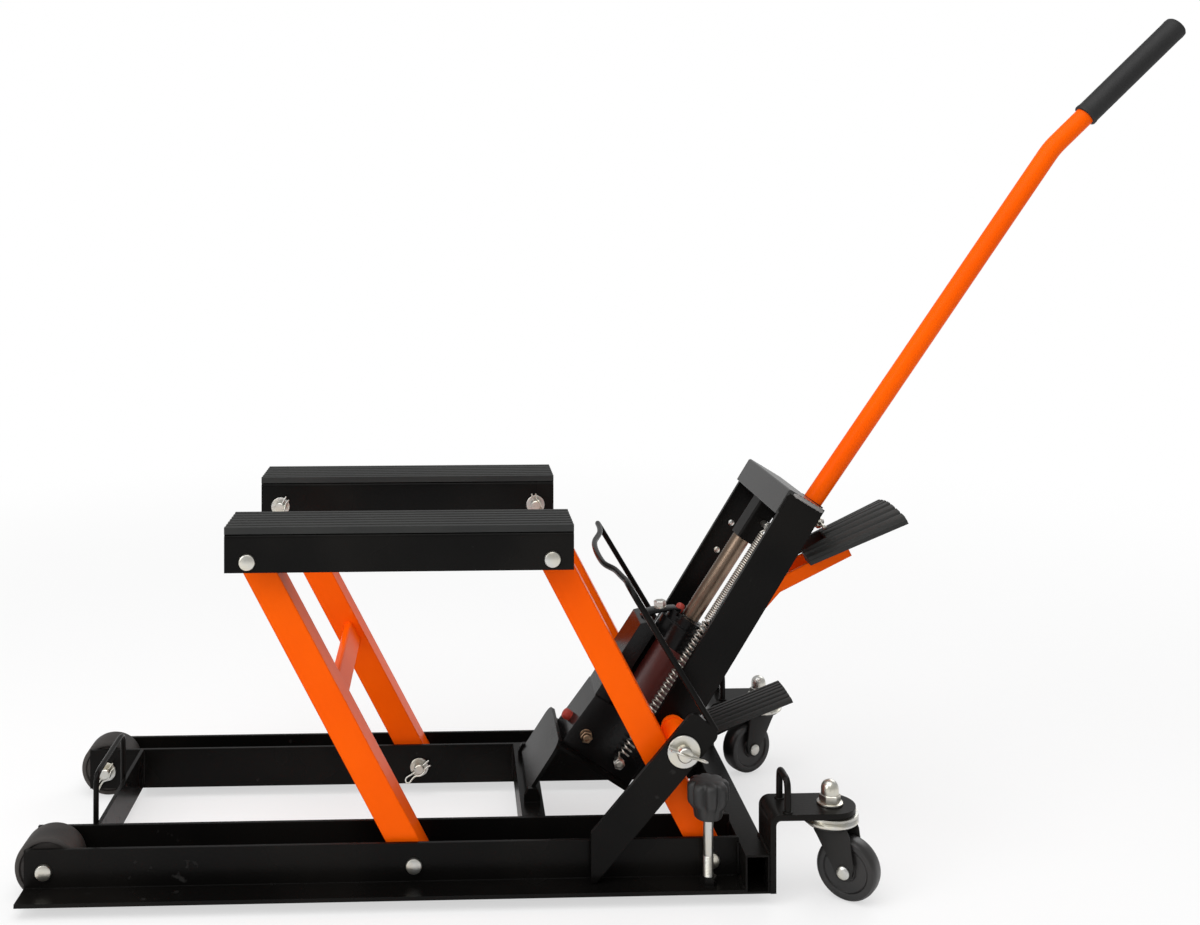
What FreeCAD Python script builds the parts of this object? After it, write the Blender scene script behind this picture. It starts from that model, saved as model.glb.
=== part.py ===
import FreeCAD, Part
import Sketcher
import math
import os
import re

from FreeCAD import Placement, Rotation, Vector

# Motorcycle scissor lift, raised, with its jack tower, pedals, prop and handle.
# Millimetres and degrees. X runs along the rails towards the handle, Y across, Z up from the floor.
# Places along X count from a datum near the front arm pins, and the finished model moves at the end.

doc = FreeCAD.newDocument("motorcycle_lift")
sheet = doc.addObject("Spreadsheet::Sheet", "sizes")

SIZES = [
    # rails
    ("rail_front", -361), ("rail_back", 370), ("rail_floor_gap", 12), ("flange_thick", 4),
    ("flange_edge_y", 184), ("outer_wall_y", 152), ("outer_wall_thick", 4), ("outer_wall_top", 55),
    ("inner_wall_y", 100), ("inner_wall_thick", 4), ("inner_wall_top", 58), ("web_thick", 3),
    ("web_front", -300), ("rail_bend", 5),
    # cross members
    ("back_tube_deep", 25), ("back_tube_top", 51), ("tube_wall", 2),
    ("mid_tube_front", 148), ("mid_tube_deep", 25), ("mid_tube_bottom", 18),
    ("front_member_x", -297), ("front_member_thick", 4), ("front_member_bottom", 14),
    ("front_lip", 20), ("loop_rod", 6), ("loop_leg_near", -92), ("loop_leg_far", 27),
    ("loop_top", 106), ("loop_bend", 12),
    # caster brackets and tie rings
    ("bracket_thick", 6), ("bracket_edge_y", 186), ("bracket_wide", 52), ("bracket_bottom", 12.6),
    ("bracket_top", 92), ("bracket_bend", 5), ("swivel_x", 463), ("ring_rod", 7), ("ring_x", 414),
    ("ring_leg_in", 145.5), ("ring_leg_out", 180.5), ("ring_top", 123.5), ("ring_bend", 10),
    # rollers and pins
    ("roller_x", -341), ("roller_radius", 32.5), ("roller_wide", 38), ("roller_groove", 2),
    ("arm_y", 107), ("pin_radius", 6), ("head_radius", 8.5), ("head_thick", 4), ("pin_tail", 11),
    ("washer_radius", 11), ("washer_thick", 2), ("clip_rod", 2), ("clip_long", 26), ("fit", 0.05),
    ("clip_lean", 35), ("clearance", 0.4), ("overrun", 2),
    # arms
    ("front_pin_x", 34), ("rear_pin_x", 342), ("rail_pin_z", 32), ("arm_rise", 318), ("arm_run", 167),
    ("arm_deep", 31), ("arm_wide", 38), ("arm_wall", 3), ("bar_along", 181), ("bar_long", 26),
    ("bar_thick", 10), ("bar_face", 8), ("bar_round", 2.5),
    # tower pin and sleeves
    ("tower_pin_back", 32), ("tower_pin_rise", 118.5), ("sleeve_radius", 12.5),
    ("tower_pin_radius", 8), ("tower_pin_head", 11), ("prop_washer_radius", 16.8),
    ("prop_washer_thick", 2.5),
    # saddles
    ("saddle_front", -156), ("saddle_long", 353), ("saddle_in_y", 97), ("saddle_wide", 75),
    ("saddle_drop", 11), ("saddle_tall", 39), ("saddle_wall", 3), ("saddle_bend", 4),
    ("rubber_thick", 4), ("rib_tall", 3), ("rib_wide", 6), ("rib_count", 7),
    # tower
    ("tower_angle", 58.5), ("tower_y", 96.5), ("tower_thick", 6), ("tower_deep", 42),
    ("tower_long", 279), ("cap_thick", 4), ("cap_drop", 26), ("cap_back_drop", 40),
    ("cap_flange", 3), ("socket_radius", 14),
    # jack
    ("jack_angle", 57), ("hinge_x", 161), ("hinge_z", 64), ("hinge_radius", 5.5),
    ("hinge_pin_radius", 3.5), ("lug_thick", 6), ("lug_radius", 9), ("cradle_half", 60),
    ("cradle_thick", 4), ("cradle_long", 64), ("cradle_round", 14), ("floor_at", 53.5),
    ("floor_half", 45), ("axis_off", 60.7), ("base_thick_back", 34), ("base_half", 32),
    ("base_top", 122), ("guard_off", 8), ("guard_deep", 19), ("guard_top", 222),
    ("guard_half", 29), ("guard_round", 6), ("barrel_radius", 30), ("barrel_top", 236),
    ("neck_radius", 25), ("neck_top", 247), ("neck_slots", 6), ("slot_wide", 7), ("slot_deep", 4),
    ("fill_at", 79), ("fill_off", 4.6), ("fill_radius", 6), ("fill_tall", 9),
    ("valve_at", 87.6), ("valve_off", 26.6), ("valve_radius", 7), ("valve_tall", 13),
    # ram and return springs
    ("ram_radius", 10), ("ram_inside", 36), ("ram_bottom", 100), ("head_over", 78),
    ("ram_head_long", 74.6), ("ram_head_front", 9.6), ("ram_head_back", 13.5),
    ("ram_head_half", 17), ("head_round", 3),
    ("spring_y", 40), ("spring_off", 72), ("spring_low", 79), ("hook_in_head", 24),
    ("spring_radius", 5.2), ("wire_radius", 1.1), ("open_turns", 24), ("close_turns", 24),
    ("close_share", 0.3), ("hook_gap", 0.3), ("bolt_radius", 4), ("bolt_half", 46), ("bolt_head", 6.5),
    # pump pedal
    ("pump_x", 392), ("pump_z", 222), ("pump_hub", 9), ("pump_pin", 5), ("lever_half", 20),
    ("lever_wall", 3.2), ("lever_slope", 26.3), ("lever_start_x", 446), ("lever_start_z", 272),
    ("lever_run", 92), ("lever_tall", 15), ("ear_gap", 1), ("ear_thick", 5),
    ("pedal_x", 470), ("pedal_z", 321), ("pedal_slope", 24.3), ("pedal_long", 118),
    ("pedal_front_half", 38), ("pedal_back_half", 50), ("pedal_thick", 16), ("pedal_rib", 3),
    ("pedal_ribs", 7), ("pedal_round", 8), ("notch_half", 15), ("notch_deep", 32),
    # release pedal
    ("release_x", 298), ("release_z", 82), ("release_hub", 8), ("release_half", 12),
    ("release_pad_x", 364), ("release_pad_z", 122), ("release_slope", 21),
    ("release_pad_long", 98), ("release_pad_half", 33), ("release_pad_thick", 11),
    ("release_ribs", 9), ("release_round", 7),
    # safety prop
    ("prop_angle", 49.5), ("prop_y", 160), ("prop_thick", 6), ("prop_deep", 37), ("prop_up", 38),
    ("prop_foot_x", 215), ("prop_foot_z", 16.6), ("prop_round", 9),
    ("bail_rod", 8), ("bail_x", 246), ("bail_z", 325), ("bail_wave", 10), ("bail_bend", 18),
    # handle
    ("handle_angle", 55.4), ("socket_past", 3.387), ("socket_out", 36.889), ("socket_long", 40),
    ("handle_radius", 11), ("handle_wall", 1.8), ("bend_out", 280), ("bend_up", 407),
    ("bend_radius", 90), ("grip_out", 315), ("grip_up", 449), ("grip_end_out", 430),
    ("grip_end_up", 550), ("grip_radius", 14),
    ("wing_drop", 12), ("wing_stem", 4), ("wing_long", 11), ("wing_wide", 6), ("wing_thick", 3),
    # levelling screws
    ("screw_x", 335), ("screw_y", 168), ("screw_radius", 5.5), ("screw_foot", 11),
    ("knob_bottom", 84), ("knob_top", 122), ("knob_radius", 21.5), ("knob_lobes", 8),
    ("lobe_groove", 5), ("nut_radius", 9), ("nut_tall", 8),
    # casters
    ("swivel_y", 160), ("race_radius", 29), ("race_bottom", 76), ("race_gap", 0.4),
    ("caster_radius", 31.75), ("caster_wide", 22), ("trail", 20), ("near_trail", -36.9),
    ("far_trail", -152.2), ("fork_gap", 1.5), ("fork_wall", 2.5), ("fork_wide", 24),
    ("axle_radius", 4), ("axle_nut", 7), ("stem_radius", 6),
    ("acorn_radius", 9.5), ("acorn_top", 117), ("tyre_round", 4),
]
NAMES = {name for name, value in SIZES}
for row, (name, value) in enumerate(SIZES, 1):
    sheet.set(f"A{row}", name)
    sheet.set(f"B{row}", str(value))
    sheet.setAlias(f"B{row}", name)
doc.recompute()


def bound(text):
    """A sum of size names, written for the document's expressions."""
    return re.sub(r"[a-z][a-z_0-9]+", lambda m: "sizes." + m[0] if m[0] in NAMES else m[0], str(text))


def num(text):
    """The present value of a sum of size names."""
    return float(sheet.evalExpression(bound(text)))


PARTS = {}


def keep(obj, label):
    obj.Label = label
    PARTS[label] = obj
    return obj


def direction(angle):
    """Unit vectors along and square to a slope in the XZ plane."""
    lean = math.radians(angle)
    return Vector(math.cos(lean), 0, math.sin(lean)), Vector(-math.sin(lean), 0, math.cos(lean))


def tilted(x, z, angle, y=0):
    """A placement at a point of the side view, with its X axis along the slope."""
    return Placement(Vector(x, y, z), Rotation(Vector(0, 1, 0), -angle))


def plane_of(body, role):
    return next(item for item in body.Origin.OriginFeatures if item.Role == role)


def sketch(body, role, name, offset="0"):
    """A sketch on an origin plane: XY, XZ (drawn as X, Z) or YZ, moved along the plane's normal."""
    drawing = body.newObject("Sketcher::SketchObject", name)
    drawing.AttachmentSupport = [(plane_of(body, role), "")]
    drawing.MapMode = "FlatFace"
    if offset != "0":
        drawing.setExpression("AttachmentOffset.Base.z", bound(offset))
    return drawing


def tie(drawing, kind, geo, point, text):
    index = drawing.addConstraint(Sketcher.Constraint(kind, -1, 1, geo, point, num(text)))
    drawing.setExpression(f"Constraints[{index}]", bound(text))


def outline(drawing, corners):
    """A closed outline whose corners are all tied to named sizes."""
    values = [Vector(num(a), num(b), 0) for a, b in corners]
    first = drawing.GeometryCount
    count = len(values)
    for i in range(count):
        drawing.addGeometry(Part.LineSegment(values[i], values[(i + 1) % count]), False)
    for i in range(count):
        drawing.addConstraint(Sketcher.Constraint("Coincident", first + i, 2, first + (i + 1) % count, 1))
    for i, (a, b) in enumerate(corners):
        tie(drawing, "DistanceX", first + i, 1, a)
        tie(drawing, "DistanceY", first + i, 1, b)


def ring(drawing, a, b, radius):
    """A circle tied to named sizes."""
    circle = Part.Circle(Vector(num(a), num(b), 0), Vector(0, 0, 1), num(radius))
    geo = drawing.addGeometry(circle, False)
    tie(drawing, "DistanceX", geo, 3, a)
    tie(drawing, "DistanceY", geo, 3, b)
    index = drawing.addConstraint(Sketcher.Constraint("Radius", geo, num(radius)))
    drawing.setExpression(f"Constraints[{index}]", bound(radius))


def pad(body, drawing, length, midplane=False, back=False):
    feature = body.newObject("PartDesign::Pad", "Pad")
    feature.Profile = drawing
    feature.setExpression("Length", bound(length))
    feature.SideType = "Symmetric" if midplane else "One side"
    feature.Reversed = back
    drawing.Visibility = False
    return feature


def pocket(body, drawing, length, midplane=True, back=False):
    doc.recompute()
    before = body.Shape.Volume
    feature = body.newObject("PartDesign::Pocket", "Pocket")
    feature.Profile = drawing
    feature.setExpression("Length", bound(length))
    feature.SideType = "Symmetric" if midplane else "One side"
    feature.Reversed = back
    doc.recompute()
    if body.Shape.Volume > before * (1 - 1e-6):
        raise ValueError(f"{body.Label}: a pocket removes nothing")
    return feature


def rounded(body, radius, picks, kind="Fillet"):
    """Fillet the edges whose middle passes the test."""
    doc.recompute()
    base = body.Tip
    names = []
    for i, edge in enumerate(base.Shape.Edges, 1):
        middle = edge.valueAt((edge.FirstParameter + edge.LastParameter) / 2)
        if edge.Curve.TypeId == "Part::GeomLine" and picks(middle, edge):
            names.append(f"Edge{i}")
    if not names:
        raise ValueError(f"{body.Label}: no edge to round")
    feature = body.newObject("PartDesign::" + kind, kind)
    feature.Base = (base, names)
    feature.setExpression("Radius" if kind == "Fillet" else "Size", bound(radius))
    doc.recompute()
    if "Invalid" in feature.State:
        raise ValueError(f"{body.Label}: {len(names)} edges can't be rounded by {num(radius)}")
    return feature


def new_body(label):
    return keep(doc.addObject("PartDesign::Body", label), label)


def turned(label, steps, role="XY_Plane"):
    """A revolved piece about its own X axis from (start, end, radius) steps."""
    body = new_body(label)
    drawing = sketch(body, role, "Section")
    corners = [(steps[0][0], "0")]
    for start, end, radius in steps:
        corners += [(start, radius), (end, radius)]
    corners.append((steps[-1][1], "0"))
    outline(drawing, corners)
    feature = body.newObject("PartDesign::Revolution", "Revolution")
    feature.Profile = drawing
    feature.ReferenceAxis = (drawing, ["H_Axis"])
    feature.Angle = 360
    return body


def along_y(x, y, z, side=1):
    """A placement that turns a piece's X axis outwards along Y on one side."""
    return Placement(Vector(x, y * side, z), Rotation(Vector(0, 0, 1), 90 * side))


def bent_wire(points, bends):
    """Straight runs joined by tangent arcs of the given radii."""
    edges = []
    last = points[0]
    for before, corner, after, radius in zip(points, points[1:], points[2:], bends):
        one = (before - corner).normalize()
        two = (after - corner).normalize()
        half = one.getAngle(two) / 2
        reach = radius / math.tan(half)
        start = corner + one * reach
        end = corner + two * reach
        middle_way = (one + two).normalize()
        middle = corner + middle_way * (radius / math.sin(half) - radius)
        edges.append(Part.LineSegment(last, start).toShape())
        edges.append(Part.Arc(start, middle, end).toShape())
        last = end
    edges.append(Part.LineSegment(last, points[-1]).toShape())
    return Part.Wire(edges)


ROD_SIDES = 12


def many_sided(middle, across, up, radius, sides):
    """A closed outline of equal sides round a point, in the plane of two unit vectors."""
    corners = []
    for i in range(sides + 1):
        turn = 2 * math.pi * (i % sides) / sides
        corners.append(middle + across * (radius * math.cos(turn)) + up * (radius * math.sin(turn)))
    return Part.makePolygon(corners)


def rod(label, points, radius, bends):
    """A rod bent along a route, its round section drawn with flats."""
    wire = bent_wire(points, bends)
    along = (points[1] - points[0]).normalize()
    across = Vector(0, 1, 0) if abs(along.y) < 0.5 else Vector(1, 0, 0)
    up = along.cross(across).normalize()
    section = many_sided(points[0], up.cross(along), up, radius, ROD_SIDES)
    shape = wire.makePipeShell([section], True, False)
    feature = keep(doc.addObject("Part::Feature", label), label)
    feature.Shape = shape
    return feature


def joined(label, pieces):
    """Separate or welded solids kept as one sub-part."""
    feature = doc.addObject("Part::MultiFuse", label)
    feature.Shapes = pieces
    return keep(feature, label)


def helper(kind, label, **sizes):
    """A Part primitive with every size bound."""
    obj = doc.addObject("Part::" + kind, label)
    for prop, text in sizes.items():
        obj.setExpression(prop, bound(text))
    return obj


SIDES = (("near", -1), ("far", 1))

# Arm and tower points in the side view
ARM_LONG = math.hypot(num("arm_run"), num("arm_rise"))
ARM_ANGLE = math.degrees(math.atan2(num("arm_rise"), -num("arm_run")))
TOWER_PIN = Vector(num("rear_pin_x - tower_pin_back"), 0, num("rail_pin_z + tower_pin_rise"))
HINGE = Vector(num("hinge_x"), 0, num("hinge_z"))
SADDLE_PIN_Z = num("rail_pin_z + arm_rise")


# Rails: a formed outer angle and an inner angle with a web under the arms

def rail_outer(name, side):
    body = doc.addObject("PartDesign::Body", f"rail_angle_{name}")
    section = sketch(body, "YZ_Plane", "Section", "rail_front")
    floor = "rail_floor_gap"
    wall_in = "(outer_wall_y - outer_wall_thick)"
    corners = [(f"{side} * {wall_in}", floor), (f"{side} * flange_edge_y", floor),
               (f"{side} * flange_edge_y", f"{floor} + flange_thick"),
               (f"{side} * outer_wall_y", f"{floor} + flange_thick"),
               (f"{side} * outer_wall_y", "outer_wall_top"), (f"{side} * {wall_in}", "outer_wall_top")]
    outline(section, corners)
    pad(body, section, "rail_back - rail_front")
    seat = num("rail_floor_gap + flange_thick")
    corner = num(wall_in)
    rounded(body, "rail_bend", lambda m, e: abs(abs(m.y) - corner) < 0.1 and m.z < seat)
    holes = sketch(body, "XZ_Plane", "Holes")
    for x, z in (("front_pin_x", "rail_pin_z"), ("rear_pin_x", "rail_pin_z"),
                 ("roller_x", "roller_radius")):
        ring(holes, x, z, "pin_radius + fit")
    pocket(body, holes, "2 * flange_edge_y + overrun")
    screw = sketch(body, "XY_Plane", "Screw_hole")
    ring(screw, "screw_x", f"{side} * screw_y", "screw_radius + clearance")
    pocket(body, screw, "2 * outer_wall_top")
    joined(f"rail_outer_{name}", [body, level_nut(name, side)])


def level_nut(name, side):
    """The nut welded on the flange for the levelling screw."""
    nut = doc.addObject("Part::Prism", f"nut_block_{name}")
    nut.Polygon = 6
    nut.setExpression("Circumradius", bound("nut_radius"))
    nut.setExpression("Height", bound("nut_tall"))
    seat = num("rail_floor_gap + flange_thick")
    nut.Placement = Placement(Vector(num("screw_x"), side * num("screw_y"), seat), Rotation())
    bore = helper("Cylinder", f"nut_bore_{name}", Radius="screw_radius + fit", Height="3 * nut_tall")
    bore.Placement = Placement(Vector(num("screw_x"), side * num("screw_y"), 0), Rotation())
    cut = doc.addObject("Part::Cut", f"level_nut_{name}")
    cut.Base = nut
    cut.Tool = bore
    return cut


def rail_inner(name, side):
    body = new_body(f"rail_inner_{name}")
    section = sketch(body, "YZ_Plane", "Section", "rail_front")
    outside = "(inner_wall_y + inner_wall_thick)"
    web_y = "(outer_wall_y - outer_wall_thick)"
    floor = "rail_floor_gap"
    corners = [(f"{side} * inner_wall_y", floor), (f"{side} * {web_y}", floor),
               (f"{side} * {web_y}", f"{floor} + web_thick"),
               (f"{side} * {outside}", f"{floor} + web_thick"),
               (f"{side} * {outside}", "inner_wall_top"), (f"{side} * inner_wall_y", "inner_wall_top")]
    outline(section, corners)
    pad(body, section, "rail_back - rail_front")
    room = sketch(body, "XY_Plane", "Roller_room")
    outline(room, [("rail_front - overrun", f"{side} * {outside}"), ("web_front", f"{side} * {outside}"),
                   ("web_front", f"{side} * ({web_y} + overrun)"),
                   ("rail_front - overrun", f"{side} * ({web_y} + overrun)")])
    pocket(body, room, "2 * inner_wall_top")
    holes = sketch(body, "XZ_Plane", "Holes")
    for x, z in (("front_pin_x", "rail_pin_z"), ("rear_pin_x", "rail_pin_z"),
                 ("roller_x", "roller_radius")):
        ring(holes, x, z, "pin_radius + fit")
    pocket(body, holes, "2 * flange_edge_y + overrun")


# Pins: a headed pin through a rail, with a washer and a spring clip on its inner end

def headed_pin(label, x, z, outer_y, inner_y):
    """A pin along Y with its head outside, a washer and a clip inside, as separate solids."""
    pin = helper("Cylinder", label + "_shank", Radius="pin_radius",
                 Height=f"{outer_y} - {inner_y} + pin_tail")
    head = helper("Cylinder", label + "_head", Radius="head_radius", Height="head_thick")
    washer = helper("Cylinder", label + "_washer", Radius="washer_radius", Height="washer_thick")
    clip = helper("Box", label + "_clip", Length="clip_rod", Width="clip_rod", Height="clip_long")
    turn = Rotation(Vector(1, 0, 0), -90)
    pin.Placement = Placement(Vector(x, num(f"{inner_y} - pin_tail"), z), turn)
    head.Placement = Placement(Vector(x, num(outer_y), z), turn)
    washer.Placement = Placement(Vector(x, num(f"{inner_y} - washer_thick"), z), turn)
    clip_y = num(f"{inner_y} - washer_thick - 3 * clip_rod / 2")
    lean = Rotation(Vector(0, 1, 0), num("clip_lean"))
    foot = lean.multVec(Vector(num("clip_rod") / 2, 0, num("clip_long") / 2))
    clip.Placement = Placement(Vector(x, clip_y, z) - foot, lean)
    return [pin, head, washer, clip]


def pin_set(label, side, pins):
    """The pins of one side as one sub-part, mirrored for the near side."""
    pieces = []
    for i, (x, z, outer_y, inner_y) in enumerate(pins):
        pieces += headed_pin(f"{label}_{i}", x, z, outer_y, inner_y)
    fused = doc.addObject("Part::MultiFuse", label + "_set")
    fused.Shapes = pieces
    if side > 0:
        return keep(fused, label)
    mirror = doc.addObject("Part::Mirroring", label)
    mirror.Source = fused
    mirror.Normal = Vector(0, 1, 0)
    return keep(mirror, label)


# Arms: rectangular tube with rounded ends about its two pins

def arm(label, side, pin_x, sleeve):
    body = new_body(label)
    bar = sketch(body, "XZ_Plane", "Side")
    half = "arm_deep / 2"
    reach = "sqrt(arm_rise * arm_rise + arm_run * arm_run)"
    outline(bar, [("0", f"-{half}"), (reach, f"-{half}"), (reach, half), ("0", half)])
    pad(body, bar, "arm_wide", midplane=True)
    for name, x in (("Lower_end", "0"), ("Upper_end", reach)):
        end = sketch(body, "XZ_Plane", name)
        ring(end, x, "0", half)
        pad(body, end, "arm_wide", midplane=True)
    room = sketch(body, "XZ_Plane", "Inside")
    inner = "(arm_deep / 2 - arm_wall)"
    outline(room, [("-arm_deep", f"-{inner}"), (f"{reach} + arm_deep", f"-{inner}"),
                   (f"{reach} + arm_deep", inner), ("-arm_deep", inner)])
    pocket(body, room, "arm_wide - 2 * arm_wall")
    holes = sketch(body, "XZ_Plane", "Pin_holes")
    ring(holes, "0", "0", "pin_radius + fit")
    ring(holes, reach, "0", "pin_radius + fit")
    pocket(body, holes, "arm_wide + overrun")
    middle = num("arm_y + arm_wide / 2") * side
    body.Placement = tilted(pin_x, num("rail_pin_z"), ARM_ANGLE, middle)
    if not sleeve:
        return body
    body.Label = label + "_tube"
    del PARTS[label]
    # The tower pin's sleeve is welded to the arm's back and reaches from the tower to the prop.
    start = num("tower_y + clearance")
    outer = helper("Cylinder", label + "_sleeve", Radius="sleeve_radius",
                   Height="prop_y - tower_y - 2 * clearance")
    bore = helper("Cylinder", label + "_bore", Radius="tower_pin_radius + fit", Height="prop_y")
    turn = Rotation(Vector(1, 0, 0), -90 * side)
    outer.Placement = Placement(TOWER_PIN + Vector(0, start * side, 0), turn)
    bore.Placement = Placement(TOWER_PIN, turn)
    welded = doc.addObject("Part::MultiFuse", label + "_weldment")
    welded.Shapes = [body, outer]
    cut = doc.addObject("Part::Cut", label)
    cut.Base = welded
    cut.Tool = bore
    return keep(cut, label)


for name, side in SIDES:
    rail_outer(name, side)
    rail_inner(name, side)

# Cross members between the rails

box = helper("Box", "back_tube_outside", Length="back_tube_deep", Width="2 * flange_edge_y",
             Height="back_tube_top - rail_floor_gap")
box.Placement = Placement(Vector(num("rail_back"), -num("flange_edge_y"), num("rail_floor_gap")), Rotation())
room = helper("Box", "back_tube_inside", Length="back_tube_deep - 2 * tube_wall",
              Width="2 * flange_edge_y + 2 * overrun",
              Height="back_tube_top - rail_floor_gap - 2 * tube_wall")
room.Placement = Placement(Vector(num("rail_back + tube_wall"), -num("flange_edge_y + overrun"),
                                  num("rail_floor_gap + tube_wall")), Rotation())
tube = doc.addObject("Part::Cut", "rear_cross_tube")
tube.Base = box
tube.Tool = room
keep(tube, "rear_cross_tube")


def mid_tube():
    """The rectangular cross tube that carries the jack's hinge between two welded lugs."""
    body = new_body("mid_cross_tube")
    section = sketch(body, "XZ_Plane", "Section")
    top = "hinge_z - hinge_radius - clearance"
    back = "mid_tube_front + mid_tube_deep"
    outline(section, [("mid_tube_front", "mid_tube_bottom"), (back, "mid_tube_bottom"),
                      (back, top), ("mid_tube_front", top)])
    pad(body, section, "2 * inner_wall_y", midplane=True)
    room = sketch(body, "XZ_Plane", "Inside")
    outline(room, [("mid_tube_front + tube_wall", "mid_tube_bottom + tube_wall"),
                   (f"{back} - tube_wall", "mid_tube_bottom + tube_wall"),
                   (f"{back} - tube_wall", f"{top} - tube_wall"),
                   ("mid_tube_front + tube_wall", f"{top} - tube_wall")])
    pocket(body, room, "2 * inner_wall_y + overrun")
    for end in (-1, 1):
        lug = sketch(body, "XZ_Plane", "Lug", f"-{end} * (cradle_half + clearance + lug_thick / 2)")
        outline(lug, [("hinge_x - lug_radius", top), ("hinge_x + lug_radius", top),
                      ("hinge_x + lug_radius", "hinge_z"),
                      ("hinge_x + lug_radius / 2", "hinge_z + lug_radius"),
                      ("hinge_x - lug_radius / 2", "hinge_z + lug_radius"),
                      ("hinge_x - lug_radius", "hinge_z")])
        pad(body, lug, "lug_thick", midplane=True)
    pin = sketch(body, "XZ_Plane", "Hinge_pin")
    ring(pin, "hinge_x", "hinge_z", "hinge_pin_radius")
    pad(body, pin, "2 * (cradle_half + clearance + lug_thick)", midplane=True)


mid_tube()

member = new_body("front_cross_member")
section = sketch(member, "XZ_Plane", "Section")
FRONT_TOP = "inner_wall_top"
outline(section, [("front_member_x", "front_member_bottom"), ("front_member_x", FRONT_TOP),
                  ("front_member_x - front_member_thick", FRONT_TOP),
                  ("front_member_x - front_member_thick", "front_member_bottom + front_member_thick"),
                  ("front_member_x - front_lip", "front_member_bottom + front_member_thick"),
                  ("front_member_x - front_lip", "front_member_bottom")])
pad(member, section, "2 * inner_wall_y", midplane=True)

LOOP_X = num("front_member_x - front_member_thick - loop_rod / 2")
LOOP_FOOT = num("front_member_bottom + front_member_thick")
loop_route = [Vector(LOOP_X, num("loop_leg_near"), LOOP_FOOT),
              Vector(LOOP_X, num("loop_leg_near"), num("loop_top")),
              Vector(LOOP_X, num("loop_leg_far"), num("loop_top")),
              Vector(LOOP_X, num("loop_leg_far"), LOOP_FOOT)]
rod("front_loop", loop_route, num("loop_rod / 2"), [num("loop_bend")] * 2)


# Caster brackets on the rear tube, and the tie-down rings on them

def caster_bracket(name, side):
    body = new_body(f"caster_bracket_{name}")
    back = "rail_back + back_tube_deep"
    centre = "bracket_edge_y - bracket_wide / 2"
    section = sketch(body, "XZ_Plane", "Section", f"-{side} * ({centre})")
    end = "swivel_x + bracket_wide / 2"
    outline(section, [(back, "bracket_bottom"), (f"{back} + bracket_thick", "bracket_bottom"),
                      (f"{back} + bracket_thick", "bracket_top - bracket_thick"),
                      (end, "bracket_top - bracket_thick"), (end, "bracket_top"), (back, "bracket_top")])
    pad(body, section, "bracket_wide", midplane=True)
    far_x = num(end)
    back_x = num(back)
    step_x = num(f"{back} + bracket_thick")
    top = num("bracket_top")
    under = num("bracket_top - bracket_thick")
    rounded(body, "bracket_bend", lambda m, e: abs(m.x - step_x) < 0.1 and abs(m.z - under) < 0.1)
    rounded(body, "bracket_bend + bracket_thick",
            lambda m, e: abs(m.x - back_x) < 0.1 and abs(m.z - top) < 0.1)
    rounded(body, "bracket_wide / 2 - fit",
            lambda m, e: abs(m.x - far_x) < 0.1 and abs(e.tangentAt(0).z) > 0.9)
    hole = sketch(body, "XY_Plane", "Stem_hole")
    ring(hole, "swivel_x", f"{side} * swivel_y", "stem_radius + fit")
    pocket(body, hole, "3 * bracket_top")


for name, side in SIDES:
    caster_bracket(name, side)
    ring_x = num("ring_x")
    foot = num("bracket_top")
    inner = side * num("ring_leg_in")
    outer = side * num("ring_leg_out")
    top = num("ring_top")
    rod(f"tie_ring_{name}", [Vector(ring_x, inner, foot), Vector(ring_x, inner, top),
                             Vector(ring_x, outer, top), Vector(ring_x, outer, foot)],
        num("ring_rod / 2"), [num("ring_bend")] * 2)
    rail_pins = [(num("front_pin_x"), num("rail_pin_z"), "outer_wall_y", "inner_wall_y"),
                 (num("rear_pin_x"), num("rail_pin_z"), "outer_wall_y", "inner_wall_y"),
                 (num("roller_x"), num("roller_radius"), "outer_wall_y", "inner_wall_y")]
    pin_set(f"rail_pins_{name}", side, rail_pins)
    roller = turned(f"front_roller_{name}", [
        ("-roller_wide / 2", "-roller_wide / 2 + roller_groove", "roller_radius - roller_groove"),
        ("-roller_wide / 2 + roller_groove", "roller_wide / 2 - roller_groove", "roller_radius"),
        ("roller_wide / 2 - roller_groove", "roller_wide / 2", "roller_radius - roller_groove")])
    bore = sketch(roller, "YZ_Plane", "Bore")
    ring(bore, "0", "0", "pin_radius + fit")
    pocket(roller, bore, "roller_wide + overrun")
    roller.Placement = along_y(num("roller_x"), num("arm_y + arm_wide / 2"), num("roller_radius"), side)
    arm(f"rear_arm_{name}", side, num("rear_pin_x"), True)
    arm(f"front_arm_{name}", side, num("front_pin_x"), False)
    # The tower pin runs in the sleeve, its head inside the tower and a washer outside the prop.
    tail = "prop_y + prop_thick + prop_washer_thick + clearance"
    pin = turned(f"tower_pin_shank_{name}", [
        ("tower_y - tower_thick - head_thick", "tower_y - tower_thick - fit", "tower_pin_head"),
        ("tower_y - tower_thick - fit", f"{tail} + pin_tail - clip_rod", "tower_pin_radius"),
        (f"{tail} + pin_tail - clip_rod", f"{tail} + pin_tail", "tower_pin_radius - clip_rod / 2")])
    pin.Placement = Placement(TOWER_PIN, Rotation(Vector(0, 0, 1), 90 * side))
    disc = helper("Cylinder", f"prop_washer_{name}", Radius="prop_washer_radius", Height="prop_washer_thick")
    disc.Placement = Placement(TOWER_PIN + Vector(0, num("prop_y + prop_thick + clearance") * side, 0),
                               Rotation(Vector(1, 0, 0), -90 * side))
    joined(f"tower_pin_{name}", [pin, disc])
    del PARTS[f"tower_pin_shank_{name}"]

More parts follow.
